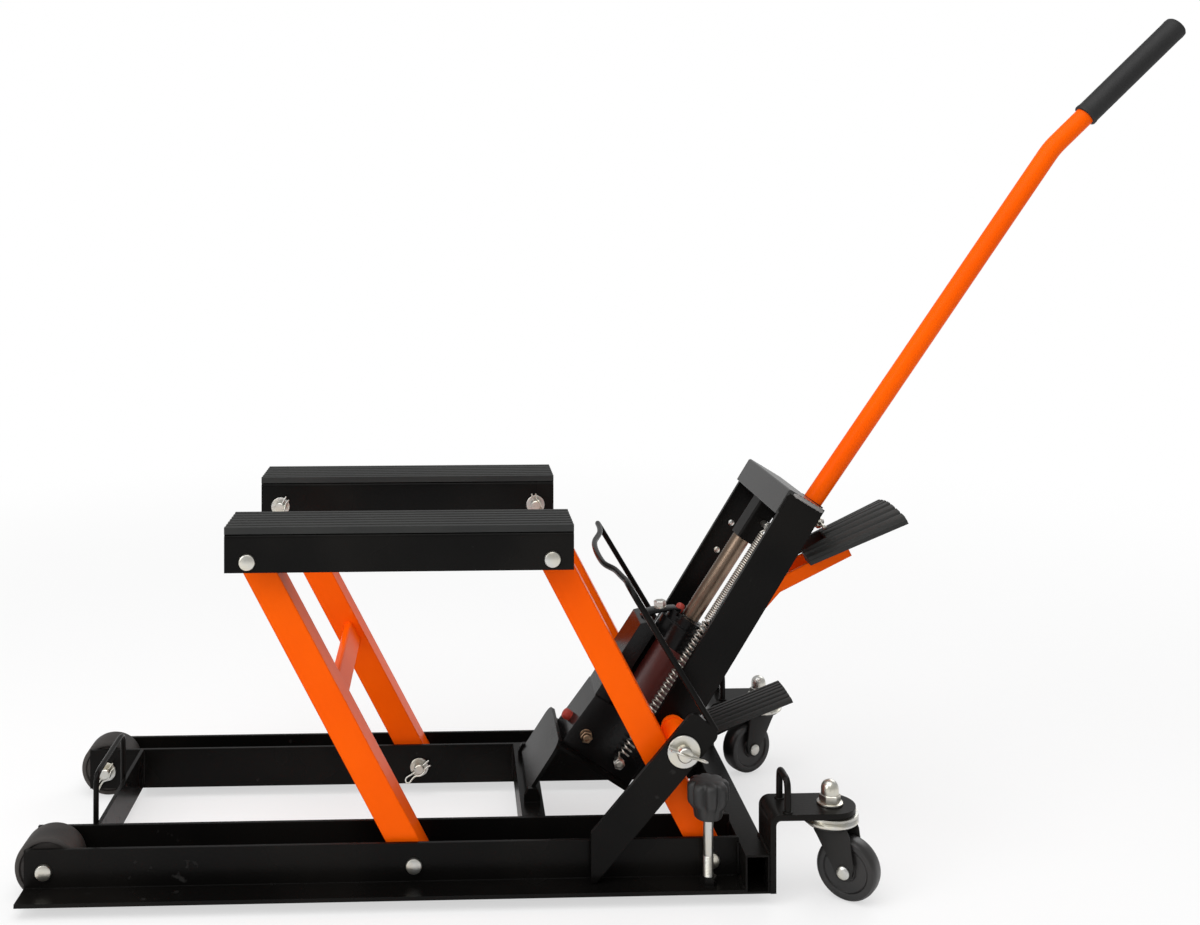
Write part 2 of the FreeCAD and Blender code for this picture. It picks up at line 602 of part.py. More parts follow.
bar = helper("Box", "arm_cross_bar_block", Length="bar_long", Width="2 * arm_y", Height="bar_thick")
along, square = direction(ARM_ANGLE)
FRONT_PIN = Vector(num("front_pin_x"), 0, num("rail_pin_z"))
corner = FRONT_PIN + along * num("bar_along - bar_long / 2") - square * num("bar_face")
bar.Placement = tilted(corner.x, corner.z, ARM_ANGLE, -num("arm_y"))
cross_bar = doc.addObject("Part::Fillet", "arm_cross_bar")
cross_bar.Base = bar
doc.recompute()
long_edges = []
for i, edge in enumerate(bar.Shape.Edges, 1):
    if abs(edge.tangentAt(edge.FirstParameter).y) > 0.9:
        long_edges.append((i, num("bar_round"), num("bar_round")))
cross_bar.Edges = long_edges
keep(cross_bar, "arm_cross_bar")


# Saddles: an inverted channel over the arm ends, with a ribbed rubber top

def saddle(name, side):
    body = new_body(f"saddle_{name}")
    section = sketch(body, "YZ_Plane", "Section", "saddle_front")
    inner = f"{side} * saddle_in_y"
    outer = f"{side} * (saddle_in_y + saddle_wide)"
    wall_in = f"{side} * (saddle_in_y + saddle_wall)"
    wall_out = f"{side} * (saddle_in_y + saddle_wide - saddle_wall)"
    bottom = "rail_pin_z + arm_rise - saddle_drop"
    top = f"{bottom} + saddle_tall"
    outline(section, [(inner, bottom), (inner, top), (outer, top), (outer, bottom), (wall_out, bottom),
                      (wall_out, f"{top} - saddle_wall"), (wall_in, f"{top} - saddle_wall"),
                      (wall_in, bottom)])
    pad(body, section, "saddle_long")
    crown = num(top)
    rounded(body, "saddle_bend", lambda m, e: abs(m.z - crown) < 0.1 and abs(e.tangentAt(0).x) > 0.9)
    holes = sketch(body, "XZ_Plane", "Pin_holes")
    for pin_x in ("front_pin_x", "rear_pin_x"):
        ring(holes, f"{pin_x} - arm_run", "rail_pin_z + arm_rise", "pin_radius + fit")
    pocket(body, holes, "3 * flange_edge_y")
    rubber = new_body(f"saddle_pad_{name}")
    ribs = sketch(rubber, "YZ_Plane", "Ribs", "saddle_front")
    pitch = "(saddle_wide - rib_wide) / (rib_count - 1)"
    base = f"{top} + rubber_thick"
    corners = [(inner, top)]
    for i in range(int(num("rib_count"))):
        left = f"{side} * (saddle_in_y + {i} * {pitch})"
        right = f"{side} * (saddle_in_y + {i} * {pitch} + rib_wide)"
        if i:
            corners.append((f"{side} * (saddle_in_y + {i} * {pitch} - rib_wide / 6)", base))
        corners += [(left, f"{base} + rib_tall"), (right, f"{base} + rib_tall")]
        if i < num("rib_count") - 1:
            corners.append((f"{side} * (saddle_in_y + {i} * {pitch} + rib_wide + rib_wide / 6)", base))
    corners.append((outer, top))
    outline(ribs, corners)
    pad(rubber, ribs, "saddle_long")
    pins = [(num(f"{x} - arm_run"), SADDLE_PIN_Z, "saddle_in_y + saddle_wide", "saddle_in_y")
            for x in ("front_pin_x", "rear_pin_x")]
    pin_set(f"saddle_pins_{name}", side, pins)


for name, side in SIDES:
    saddle(name, side)


# Tower: two flat plates on the tower pins, a folded cap and the handle socket

def tower_plate(name, side):
    body = new_body(f"tower_plate_{name}")
    half = "tower_deep / 2"
    plate = sketch(body, "XZ_Plane", "Plate")
    outline(plate, [("0", f"-{half}"), ("tower_long", f"-{half}"), ("tower_long", half), ("0", half)])
    pad(body, plate, "tower_thick", midplane=True)
    foot = sketch(body, "XZ_Plane", "Foot")
    ring(foot, "0", "0", half)
    pad(body, foot, "tower_thick", midplane=True)
    hole = sketch(body, "XZ_Plane", "Pin_hole")
    ring(hole, "0", "0", "tower_pin_radius + fit")
    pocket(body, hole, "tower_thick + overrun")
    y = num("tower_y - tower_thick / 2") * side
    body.Placement = tilted(TOWER_PIN.x, TOWER_PIN.z, num("tower_angle"), y)


for name, side in SIDES:
    tower_plate(name, side)

cap = new_body("tower_cap")
section = sketch(cap, "XZ_Plane", "Section")
front = "tower_deep / 2 + cap_flange"
back = "tower_deep / 2"
roof = "tower_long + cap_thick"
outline(section, [("tower_long - cap_drop", front), (roof, front), (roof, f"-({back})"),
                  ("tower_long", f"-({back})"), ("tower_long", back), ("tower_long - cap_drop", back)])
pad(cap, section, "2 * tower_y", midplane=True)
fold_x = num(roof)
fold_z = num(front)
rounded(cap, "cap_flange", lambda m, e: abs(m.x - fold_x) < 0.1 and abs(m.z - fold_z) < 0.1)
cap.Placement = tilted(TOWER_PIN.x, TOWER_PIN.z, num("tower_angle"))

# The back plate closes the tower's top between the side plates and carries the handle socket.
handle_along, handle_square = direction(num("handle_angle"))
tower_along, tower_square = direction(num("tower_angle"))
HANDLE_TOP = TOWER_PIN + tower_along * num("tower_long + socket_past") - tower_square * num("socket_out")
SOCKET_FOOT = HANDLE_TOP - handle_along * num("socket_long")
back_plate = helper("Box", "socket_plate", Length="cap_back_drop",
                    Width="2 * (tower_y - tower_thick)", Height="cap_flange")
corner = TOWER_PIN + tower_along * num("tower_long - cap_back_drop") - tower_square * num("tower_deep / 2")
back_plate.Placement = tilted(corner.x, corner.z, num("tower_angle"), -num("tower_y - tower_thick"))
socket = helper("Cylinder", "socket_tube", Radius="socket_radius", Height="socket_long")
lean = Rotation(Vector(0, 1, 0), 90 - num("handle_angle"))
socket.Placement = Placement(SOCKET_FOOT, lean)
socket_web = helper("Box", "socket_web", Length="socket_long - 2 * cap_thick",
                    Width="socket_radius", Height="socket_radius")
web_corner = TOWER_PIN + tower_along * num("tower_long - cap_back_drop + cap_thick")
web_corner -= tower_square * num("tower_deep / 2 + socket_radius")
socket_web.Placement = tilted(web_corner.x, web_corner.z, num("tower_angle"), -num("socket_radius / 2"))
bore = helper("Cylinder", "socket_bore", Radius="handle_radius + fit",
              Height="socket_long + 2 * overrun")
bore.Placement = Placement(SOCKET_FOOT - handle_along * num("overrun"), lean)
weld = doc.addObject("Part::MultiFuse", "socket_weldment")
weld.Shapes = [back_plate, socket, socket_web]
wing_bore = helper("Cylinder", "wing_bore", Radius="wing_stem + fit", Height="2 * socket_radius")
WING_FOOT = TOWER_PIN + tower_along * num("tower_long - wing_drop")
offset = (WING_FOOT - HANDLE_TOP).dot(handle_along)
WING_AXIS_POINT = HANDLE_TOP + handle_along * offset
wing_turn = Rotation(Vector(0, 0, 1), -handle_square)
wing_bore.Placement = Placement(WING_AXIS_POINT, wing_turn)
cuts = doc.addObject("Part::MultiFuse", "socket_cuts")
cuts.Shapes = [bore, wing_bore]
holder = doc.addObject("Part::Cut", "handle_socket")
holder.Base = weld
holder.Tool = cuts
keep(holder, "handle_socket")

# Handle: one bent tube, a rubber grip and the wing bolt that holds it
BEND = HANDLE_TOP + Vector(num("bend_out"), 0, num("bend_up"))
GRIP = HANDLE_TOP + Vector(num("grip_out"), 0, num("grip_up"))
GRIP_END = HANDLE_TOP + Vector(num("grip_end_out"), 0, num("grip_end_up"))
TUBE_END = GRIP_END - (GRIP_END - GRIP).normalize() * num("grip_radius / 2")
tube_foot = SOCKET_FOOT + handle_along * num("fit")
knee = tube_foot + handle_along * (BEND - tube_foot).dot(handle_along)
tube_wire = bent_wire([tube_foot, knee, TUBE_END], [num("bend_radius")])
outside = Part.Wire([Part.makeCircle(num("handle_radius"), tube_foot, handle_along)])
inside = Part.Wire([Part.makeCircle(num("handle_radius - handle_wall"), tube_foot, handle_along)])
tube = keep(doc.addObject("Part::Feature", "handle_tube"), "handle_tube")
hollow = tube_wire.makePipeShell([outside], True, False).cut(tube_wire.makePipeShell([inside], True, False))
tube.Shape = hollow
grip_along = (TUBE_END - knee).normalize()
grip_long = (GRIP_END - GRIP).Length


def grip():
    """A closed rubber grip."""
    body = new_body("handle_grip")
    drawing = sketch(body, "XY_Plane", "Section")
    skin = "grip_radius"
    bore_r = "handle_radius + fit"
    run = "(grip_end_out - grip_out)"
    rise = "(grip_end_up - grip_up)"
    total = f"sqrt({run} * {run} + {rise} * {rise})"
    corners = [("0", bore_r), ("0", skin)]
    corners += [(f"{total} - grip_radius / 3", skin), (total, f"{skin} - grip_radius / 3"), (total, "0"),
                (f"{total} - grip_radius / 2", "0"), (f"{total} - grip_radius / 2", bore_r)]
    outline(drawing, corners)
    turn = body.newObject("PartDesign::Revolution", "Revolution")
    turn.Profile = drawing
    turn.ReferenceAxis = (drawing, ["H_Axis"])
    turn.Angle = 360
    start = TUBE_END - grip_along * (grip_long - num("grip_radius / 2"))
    slope = math.degrees(math.atan2(grip_along.z, grip_along.x))
    body.Placement = tilted(start.x, start.z, slope)


grip()

wing_face = WING_AXIS_POINT - handle_square * num("handle_radius + fit")
stem = helper("Cylinder", "wing_stem_rod", Radius="wing_stem",
              Height="socket_radius - handle_radius + wing_stem")
stem.Placement = Placement(wing_face, wing_turn)
collar = helper("Cylinder", "wing_collar", Radius="wing_stem * 1.5", Height="wing_long / 2")
wing_seat = WING_AXIS_POINT - handle_square * num("socket_radius + clearance")
collar.Placement = Placement(wing_seat, wing_turn)
wings = []
for turn_side in (-1, 1):
    blade = helper("Box", f"wing_blade_{turn_side + 1}", Length="wing_thick", Width="wing_wide + wing_stem",
                   Height="wing_long")
    shift = Vector(-num("wing_thick") / 2, 0 if turn_side > 0 else -num("wing_wide + wing_stem"), 0)
    blade.Placement = Placement(wing_seat, wing_turn) * Placement(shift, Rotation())
    wings.append(blade)
joined("wing_bolt", [stem, collar] + wings)


# Jack: a cradle hinged on the mid tube, a cast base, the barrel with its neck, and fittings

def on_jack(x, z, y=0):
    """A point given along and square to the jack, seen from its hinge."""
    lengthwise, square_off = direction(num("jack_angle"))
    return HINGE + lengthwise * x + square_off * z + Vector(0, y, 0)


JACK = tilted(HINGE.x, HINGE.z, num("jack_angle"))
jack_along, jack_square = direction(num("jack_angle"))
DEEP_BACK = "-(axis_off + base_thick_back)"


def jack_cradle():
    body = new_body("jack_cradle")
    hub = sketch(body, "XZ_Plane", "Hub")
    ring(hub, "0", "0", "hinge_radius")
    pad(body, hub, "2 * cradle_half", midplane=True)
    face = sketch(body, "XZ_Plane", "Face")
    outline(face, [("0", "hinge_radius - cradle_thick"), ("cradle_long", "hinge_radius - cradle_thick"),
                   ("cradle_long", "hinge_radius"), ("0", "hinge_radius")])
    pad(body, face, "2 * cradle_half", midplane=True)
    long_x = num("cradle_long")
    half = num("cradle_half")
    rounded(body, "cradle_round", lambda m, e: abs(m.x - long_x) < 0.1 and abs(abs(m.y) - half) < 0.1)
    floor = sketch(body, "XZ_Plane", "Floor")
    outline(floor, [("floor_at", "hinge_radius - cradle_thick"), ("floor_at", DEEP_BACK),
                    ("floor_at + cradle_thick", DEEP_BACK),
                    ("floor_at + cradle_thick", "hinge_radius - cradle_thick")])
    pad(body, floor, "2 * floor_half", midplane=True)
    bore = sketch(body, "XZ_Plane", "Hinge_bore")
    ring(bore, "0", "0", "hinge_pin_radius + fit")
    pocket(body, bore, "2 * cradle_half + overrun")
    body.Placement = JACK


def jack_base():
    """The cast base with the guard block in front of the barrel and the release pedal's ears."""
    body = new_body("jack_base")
    low = "floor_at + cradle_thick"
    block = sketch(body, "XZ_Plane", "Block")
    outline(block, [(low, "-guard_off / 2"), ("base_top", "-guard_off"), ("base_top", DEEP_BACK),
                    (low, DEEP_BACK)])
    pad(body, block, "2 * base_half", midplane=True)
    guard = sketch(body, "XZ_Plane", "Guard")
    outline(guard, [("base_top - overrun", "-guard_off"), ("guard_top - guard_round", "-guard_off"),
                    ("guard_top", "-(guard_off + guard_round)"), ("guard_top", "-(guard_off + guard_deep)"),
                    ("base_top - overrun", "-(guard_off + guard_deep)")])
    pad(body, guard, "2 * guard_half", midplane=True)
    for end in (-1, 1):
        ear = sketch(body, "XZ_Plane", "Ear", f"-{end} * (release_half + ear_gap + ear_thick / 2)")
        x, z = ear_place("release_x", "release_z")
        outline(ear, [(f"{x} - release_hub", f"{DEEP_BACK} + overrun"), (f"{x} - release_hub", z),
                      (f"{x} - release_hub / 2", f"{z} - release_hub"),
                      (f"{x} + release_hub / 2", f"{z} - release_hub"), (f"{x} + release_hub", z),
                      (f"{x} + release_hub", f"{DEEP_BACK} + overrun")])
        pad(body, ear, "ear_thick", midplane=True)
    pin = sketch(body, "XZ_Plane", "Release_pin")
    ring(pin, x, z, "axle_radius")
    pad(body, pin, "2 * (release_half + ear_gap + ear_thick)", midplane=True)
    bolt = sketch(body, "XZ_Plane", "Spring_bolt_hole")
    ring(bolt, "spring_low - bolt_radius", "-spring_off", "bolt_radius + fit")
    pocket(body, bolt, "2 * base_half + overrun")
    bore = sketch(body, "YZ_Plane", "Ram_bore", "ram_bottom")
    ring(bore, "0", "-axis_off", "ram_radius + fit")
    pocket(body, bore, "base_top - ram_bottom + overrun", midplane=False, back=True)
    body.Placement = JACK


def ear_place(x_name, z_name):
    """A side-view point in jack places, as sums of size names."""
    run = f"({x_name} - hinge_x)"
    rise = f"({z_name} - hinge_z)"
    return (f"({run} * cos(jack_angle) + {rise} * sin(jack_angle))",
            f"({rise} * cos(jack_angle) - {run} * sin(jack_angle))")


def jack_barrel():
    """The oil barrel, its slotted neck and the ears of the pump pedal."""
    body = new_body("jack_barrel")
    steps = [("base_top", "barrel_top", "barrel_radius"), ("barrel_top", "neck_top", "neck_radius")]
    drawing = sketch(body, "XZ_Plane", "Section")
    corners = []
    for start, end, radius in steps:
        corners += [(start, f"{radius} - axis_off"), (end, f"{radius} - axis_off")]
    corners += [("neck_top", "ram_radius + fit - axis_off"), ("base_top", "ram_radius + fit - axis_off")]
    outline(drawing, corners)
    spin = body.newObject("PartDesign::Revolution", "Revolution")
    spin.Profile = drawing
    axis = drawing.addGeometry(Part.LineSegment(Vector(0, -num("axis_off"), 0),
                                                Vector(num("neck_top"), -num("axis_off"), 0)), True)
    tie(drawing, "DistanceY", axis, 1, "-axis_off")
    tie(drawing, "DistanceY", axis, 2, "-axis_off")
    tie(drawing, "DistanceX", axis, 1, "0")
    tie(drawing, "DistanceX", axis, 2, "neck_top")
    spin.ReferenceAxis = (drawing, ["Axis0"])
    spin.Angle = 360
    slots = sketch(body, "YZ_Plane", "Neck_slots", "neck_top - slot_deep")
    for i in range(int(num("neck_slots"))):
        turn = i * 360 / num("neck_slots") + 15
        c = f"cos({turn})"
        k = f"sin({turn})"
        inner = "(neck_radius - slot_deep)"
        outer = "(neck_radius + overrun)"
        half = "slot_wide / 2"
        outline(slots, [(f"{inner} * {c} - {half} * {k}", f"{inner} * {k} + {half} * {c} - axis_off"),
                        (f"{outer} * {c} - {half} * {k}", f"{outer} * {k} + {half} * {c} - axis_off"),
                        (f"{outer} * {c} + {half} * {k}", f"{outer} * {k} - {half} * {c} - axis_off"),
                        (f"{inner} * {c} + {half} * {k}", f"{inner} * {k} - {half} * {c} - axis_off")])
    pocket(body, slots, "slot_deep + overrun", midplane=False, back=True)
    x, z = ear_place("pump_x", "pump_z")
    for end in (-1, 1):
        ear = sketch(body, "XZ_Plane", "Ear", f"-{end} * (lever_half + ear_gap + ear_thick / 2)")
        neck = "-(axis_off + barrel_radius / 2)"
        outline(ear, [("barrel_top - 2 * neck_radius", neck), ("barrel_top", neck),
                      (f"{x} + pump_hub", f"{z} + pump_hub / 2"),
                      (f"{x} + pump_hub", f"{z} - pump_hub / 2"),
                      (f"{x} + pump_hub / 2", f"{z} - pump_hub"),
                      (f"{x} - pump_hub / 2", f"{z} - pump_hub")])
        pad(body, ear, "ear_thick", midplane=True)
    pin = sketch(body, "XZ_Plane", "Pump_pin")
    ring(pin, x, z, "pump_pin")
    pad(body, pin, "2 * (lever_half + ear_gap + ear_thick)", midplane=True)
    body.Placement = JACK


jack_cradle()
jack_base()
jack_barrel()

fill = helper("Cylinder", "fill_plug", Radius="fill_radius", Height="fill_tall")
fill_seat = on_jack(num("fill_at"), -num("fill_off"))
fill.Placement = Placement(fill_seat, Rotation(Vector(0, 0, 1), jack_square))
valve = doc.addObject("Part::Prism", "valve_hex")
valve.Polygon = 6
valve.setExpression("Circumradius", bound("valve_radius"))
valve.setExpression("Height", bound("valve_tall"))
valve.Placement = Placement(on_jack(num("valve_at"), -num("valve_off"), -num("base_half")),
                            Rotation(Vector(1, 0, 0), 90))
guard_bolt = doc.addObject("Part::Prism", "guard_bolt")
guard_bolt.Polygon = 6
guard_bolt.setExpression("Circumradius", bound("valve_radius"))
guard_bolt.setExpression("Height", bound("fill_tall"))
guard_middle = -num("guard_off + guard_deep / 2 + guard_round / 2")
guard_bolt.Placement = Placement(on_jack(num("guard_top"), guard_middle),
                                 Rotation(Vector(0, 0, 1), jack_along))
joined("jack_fittings", [fill, valve, guard_bolt])

# Ram: the polished rod and the block on its end that lifts the cap
HEAD_START = "(tower_long + head_over)"
ram = turned("ram_rod", [("neck_top - ram_inside + overrun", HEAD_START, "ram_radius")])
ram.Placement = tilted(on_jack(0, -num("axis_off")).x, on_jack(0, -num("axis_off")).z, num("jack_angle"))
head = new_body("ram_head")
side_view = sketch(head, "XZ_Plane", "Side")
FRONT_OFF = "(ram_head_front - axis_off)"
BACK_OFF = "-(ram_head_back + axis_off)"
HEAD_END = f"{HEAD_START} + ram_head_long"
outline(side_view, [(HEAD_START, BACK_OFF), (HEAD_END, BACK_OFF), (HEAD_END, FRONT_OFF),
                    (HEAD_START, FRONT_OFF)])
pad(head, side_view, "2 * ram_head_half", midplane=True)
rounded(head, "head_round", lambda m, e: abs(e.tangentAt(0).x) > 0.9)
bolt_hole = sketch(head, "XZ_Plane", "Bolt_hole")
SPRING_HIGH = f"({HEAD_START} + hook_in_head)"
SPRING_TOP = f"{SPRING_HIGH} + bolt_radius"
ring(bolt_hole, SPRING_TOP, "-spring_off", "bolt_radius + fit")
pocket(head, bolt_hole, "2 * ram_head_half + overrun")
head.Placement = JACK

# Return springs on both sides of the ram, hung between two cross bolts
SPRING_FOOT = "spring_low - bolt_radius"
for label, x in (("spring_bolt_upper", num(SPRING_TOP)), ("spring_bolt_lower", num(SPRING_FOOT))):
    bolt = turned(label, [("-bolt_half", "-bolt_half + bolt_radius", "bolt_head"),
                          ("-bolt_half + bolt_radius", "bolt_half - bolt_radius", "bolt_radius"),
                          ("bolt_half - bolt_radius", "bolt_half", "bolt_head")])
    bolt.Placement = Placement(on_jack(x, -num("spring_off")), Rotation(Vector(0, 0, 1), 90))


WIRE_SIDES = 6
TURN_STEPS = 6


def on_coil(place, angle):
    coil_r = num("spring_radius")
    return Vector(place, coil_r * math.cos(angle), coil_r * math.sin(angle))


def spring_marks(start):
    """The wire's places and angles along the spring: a tail, open turns, close turns, a tail."""
    runs = ((int(num("open_turns")), 1 - num("close_share")), (int(num("close_turns")), num("close_share")))
    tail = 2 * num("wire_radius")
    low = num("spring_low + hook_gap") + tail
    length = num(f"{SPRING_HIGH} - hook_gap") - tail - low
    marks = [(low, start)]
    for count, share in runs:
        for i in range(count * TURN_STEPS):
            place, angle = marks[-1]
            marks.append((place + length * share / count / TURN_STEPS, angle + 2 * math.pi / TURN_STEPS))
    return [(low - tail, start)] + marks + [(marks[-1][0] + tail, marks[-1][1])]


def spring_gap():
    """Least distance between the skins of turns that lie next to each other."""
    points = [on_coil(*mark) for mark in spring_marks(0)]
    apart = TURN_STEPS // 2 + 1
    nearest = min((a - b).Length for i, a in enumerate(points) for b in points[i + apart:])
    return nearest - 2 * num("wire_radius")


def spring_wire(label, y, start):
    """One unbroken wire, drawn through a section at every step of its turns."""
    marks = spring_marks(start)
    points = [on_coil(*mark) for mark in marks]
    sections = []
    for i, (place, angle) in enumerate(marks):
        along = (points[min(i + 1, len(points) - 1)] - points[max(i - 1, 0)]).normalize()
        out = Vector(0, math.cos(angle), math.sin(angle))
        up = along.cross(out).normalize()
        sections.append(many_sided(points[i], up.cross(along), up, num("wire_radius"), WIRE_SIDES))
    feature = keep(doc.addObject("Part::Feature", label), label)
    feature.Shape = Part.makeLoft(sections, True, True)
    offset = on_jack(0, -num("spring_off"))
    feature.Placement = tilted(offset.x, offset.z, num("jack_angle"), y)


for name, side in SIDES:
    spring_wire(f"return_spring_{name}", side * num("spring_y"), math.radians(90 + 90 * side))


# Pump pedal: a bent channel lever on the barrel's ears, with a ribbed rubber pedal

def pump_lever():
    body = new_body("pump_lever")
    side_view = sketch(body, "XZ_Plane", "Side")
    end_x = "(lever_start_x + lever_run * cos(lever_slope))"
    end_z = "(lever_start_z + lever_run * sin(lever_slope))"
    up_x = "lever_tall * sin(lever_slope)"
    up_z = "lever_tall * cos(lever_slope)"
    outline(side_view, [("pump_x + pump_hub", "pump_z"), ("lever_start_x", "lever_start_z"),
                        (end_x, end_z), (f"{end_x} - {up_x}", f"{end_z} + {up_z}"),
                        (f"lever_start_x - {up_x}", f"lever_start_z + {up_z}"),
                        ("pump_x - pump_hub", "pump_z")])
    pad(body, side_view, "2 * lever_half", midplane=True)
    hub = sketch(body, "XZ_Plane", "Hub")
    ring(hub, "pump_x", "pump_z", "pump_hub")
    pad(body, hub, "2 * lever_half", midplane=True)
    room = sketch(body, "XZ_Plane", "Inside")
    floor_x = "lever_wall * sin(lever_slope)"
    floor_z = "lever_wall * cos(lever_slope)"
    far = "lever_tall * 4"
    web_x = "(lever_start_x + lever_tall)"
    web_z = "(lever_start_z + lever_tall * tan(lever_slope) + lever_wall / cos(lever_slope))"
    outline(room, [("pump_x - pump_hub - overrun", "pump_z - pump_hub - overrun"),
                   (web_x, "pump_z - pump_hub - overrun"), (web_x, web_z),
                   (f"{end_x} - {floor_x} + overrun", f"{end_z} + {floor_z} + overrun / 2"),
                   (f"{end_x} + overrun - {far} / 4", f"{end_z} + {far}"),
                   ("pump_x - pump_hub - overrun", f"{end_z} + {far}")])
    pocket(body, room, "2 * (lever_half - lever_wall)")
    bore = sketch(body, "XZ_Plane", "Pin_hole")
    ring(bore, "pump_x", "pump_z", "pump_pin + fit")
    pocket(body, bore, "2 * lever_half + overrun")


def ribbed_pedal(label, x, z, slope, length, front_half, back_half, thick, rib, ribs, corner, notch):
    """A rubber pedal drawn in plan, narrower in front, with raised ribs along it."""
    body = new_body(label)
    plan = sketch(body, "XY_Plane", "Plan")
    outline(plan, [("0", f"-{front_half}"), (length, f"-{back_half}"), (length, back_half),
                   ("0", front_half)])
    pad(body, plan, thick, back=True)
    for i in range(ribs):
        share = -1 + 2 * (i + 0.5) / ribs
        half = f"{front_half} / {ribs} * 0.6"
        strip = sketch(body, "XY_Plane", "Rib")
        near = f"({share} * {front_half})"
        far = f"({share} * {back_half})"
        outline(strip, [(corner, f"{near} - {half}"), (f"{length} - {corner} / 2", f"{far} - {half}"),
                        (f"{length} - {corner} / 2", f"{far} + {half}"), (corner, f"{near} + {half}")])
        pad(body, strip, rib)
    length_now = num(length)
    rounded(body, corner, lambda m, e: abs(e.tangentAt(0).z) > 0.9 and m.z < 0
            and (m.x < 0.1 or m.x > length_now - 0.1))
    if notch:
        cut = sketch(body, "XY_Plane", "Handle_notch")
        outline(cut, [("-overrun", "-notch_half"), ("notch_deep - notch_half / 2", "-notch_half"),
                      ("notch_deep", "-notch_half / 2"), ("notch_deep", "notch_half / 2"),
                      ("notch_deep - notch_half / 2", "notch_half"), ("-overrun", "notch_half")])
        pocket(body, cut, "3 * pedal_thick")
    body.Placement = tilted(num(x), num(z), num(slope))


pump_lever()
ribbed_pedal("pump_pedal", "pedal_x", "pedal_z", "pedal_slope", "pedal_long", "pedal_front_half",
             "pedal_back_half", "pedal_thick", "pedal_rib", int(num("pedal_ribs")), "pedal_round", True)


# Release pedal behind the jack's base

def release_lever():
    body = new_body("release_lever")
    side_view = sketch(body, "XZ_Plane", "Side")
    foot_x = "(release_pad_x + release_pad_long * 0.6 * cos(release_slope))"
    foot_z = "(release_pad_z + release_pad_long * 0.6 * sin(release_slope))"
    down_x = "release_pad_thick * sin(release_slope)"
    down_z = "release_pad_thick * cos(release_slope)"
    outline(side_view, [("release_x", "release_z - release_hub"),
                        (f"release_pad_x + {down_x}", f"release_pad_z - {down_z} - release_hub"),
                        (f"{foot_x} + {down_x}", f"{foot_z} - {down_z} - release_hub / 2"),
                        (f"{foot_x} + {down_x}", f"{foot_z} - {down_z}"),
                        (f"release_pad_x + {down_x}", f"release_pad_z - {down_z}"),
                        ("release_x", "release_z + release_hub")])
    pad(body, side_view, "2 * release_half", midplane=True)
    hub = sketch(body, "XZ_Plane", "Hub")
    ring(hub, "release_x", "release_z", "release_hub")
    pad(body, hub, "2 * release_half", midplane=True)
    bore = sketch(body, "XZ_Plane", "Pin_hole")
    ring(bore, "release_x", "release_z", "axle_radius + fit")
    pocket(body, bore, "2 * release_half + overrun")


release_lever()
ribbed_pedal("release_pedal", "release_pad_x", "release_pad_z", "release_slope", "release_pad_long",
             "release_pad_half", "release_pad_half", "release_pad_thick", "pedal_rib",
             int(num("release_ribs")), "release_round", False)


# Safety prop: a flat bar on each tower pin, joined by the wire bail

PROP_ALONG, PROP_SQUARE = direction(num("prop_angle"))


def prop_bar(name, side):
    body = new_body(f"prop_bar_{name}")
    plate = sketch(body, "XZ_Plane", "Plate")
    half = "prop_deep / 2"
    pin_x = "(rear_pin_x - tower_pin_back)"
    pin_z = "(rail_pin_z + tower_pin_rise)"
    up_x = f"({pin_x} + prop_up * cos(prop_angle))"
    up_z = f"({pin_z} + prop_up * sin(prop_angle))"
    side_x = f"{half} * sin(prop_angle)"
    side_z = f"{half} * cos(prop_angle)"
    right_x = f"({pin_x} + {side_x} - ({pin_z} - {side_z} - prop_foot_z) / tan(prop_angle))"
    top_z = f"({pin_z} + {side_z} - ({pin_x} - {side_x} - prop_foot_x) * tan(prop_angle))"
    outline(plate, [("prop_foot_x", "prop_foot_z"), (right_x, "prop_foot_z"),
                    (f"{up_x} + {side_x}", f"{up_z} - {side_z}"),
                    (f"{up_x} - {side_x}", f"{up_z} + {side_z}"), ("prop_foot_x", top_z)])
    pad(body, plate, "prop_thick", midplane=True)
    tip = TOWER_PIN + PROP_ALONG * num("prop_up")
    rounded(body, "prop_round", lambda m, e: abs((m - tip).dot(PROP_ALONG)) < 0.5
            and abs(abs((m - tip).dot(PROP_SQUARE)) - num(half)) < 0.5)
    hole = sketch(body, "XZ_Plane", "Pin_hole")
    ring(hole, pin_x, pin_z, "tower_pin_radius + fit")
    pocket(body, hole, "prop_thick + overrun")
    body.Placement = Placement(Vector(0, side * num("prop_y + prop_thick / 2"), 0), Rotation())


for name, side in SIDES:
    prop_bar(name, side)

bail_y = num("prop_y + prop_thick / 2")
bail_foot = TOWER_PIN + PROP_ALONG * num("prop_up") - PROP_SQUARE * num("prop_deep / 4")
wave = num("bail_wave")
crest = Vector(num("bail_x"), 0, num("bail_z"))
BAIL_SHARES = [(0.68, -1.0), (0.36, -1.3), (0.0, -0.2)]
route = [bail_foot + Vector(0, -bail_y, 0), crest + Vector(0, -bail_y, 0)]
for share, push in BAIL_SHARES:
    route.append(crest + Vector(wave * push, -bail_y * share, 0))
for share, push in reversed(BAIL_SHARES[:-1]):
    route.append(crest + Vector(wave * push, bail_y * share, 0))
route += [crest + Vector(0, bail_y, 0), bail_foot + Vector(0, bail_y, 0)]
bail_bends = [num("bail_bend")] + [num("bail_bend * 4")] * (len(route) - 4) + [num("bail_bend")]
doc.recompute()
bail = rod("prop_bail", route, num("bail_rod / 2"), bail_bends)
for name, side in SIDES:
    bail.Shape = bail.Shape.cut(doc.getObject(f"prop_bar_{name}").Shape)


# Levelling screws with lobed knobs, in nuts welded to the rail flanges

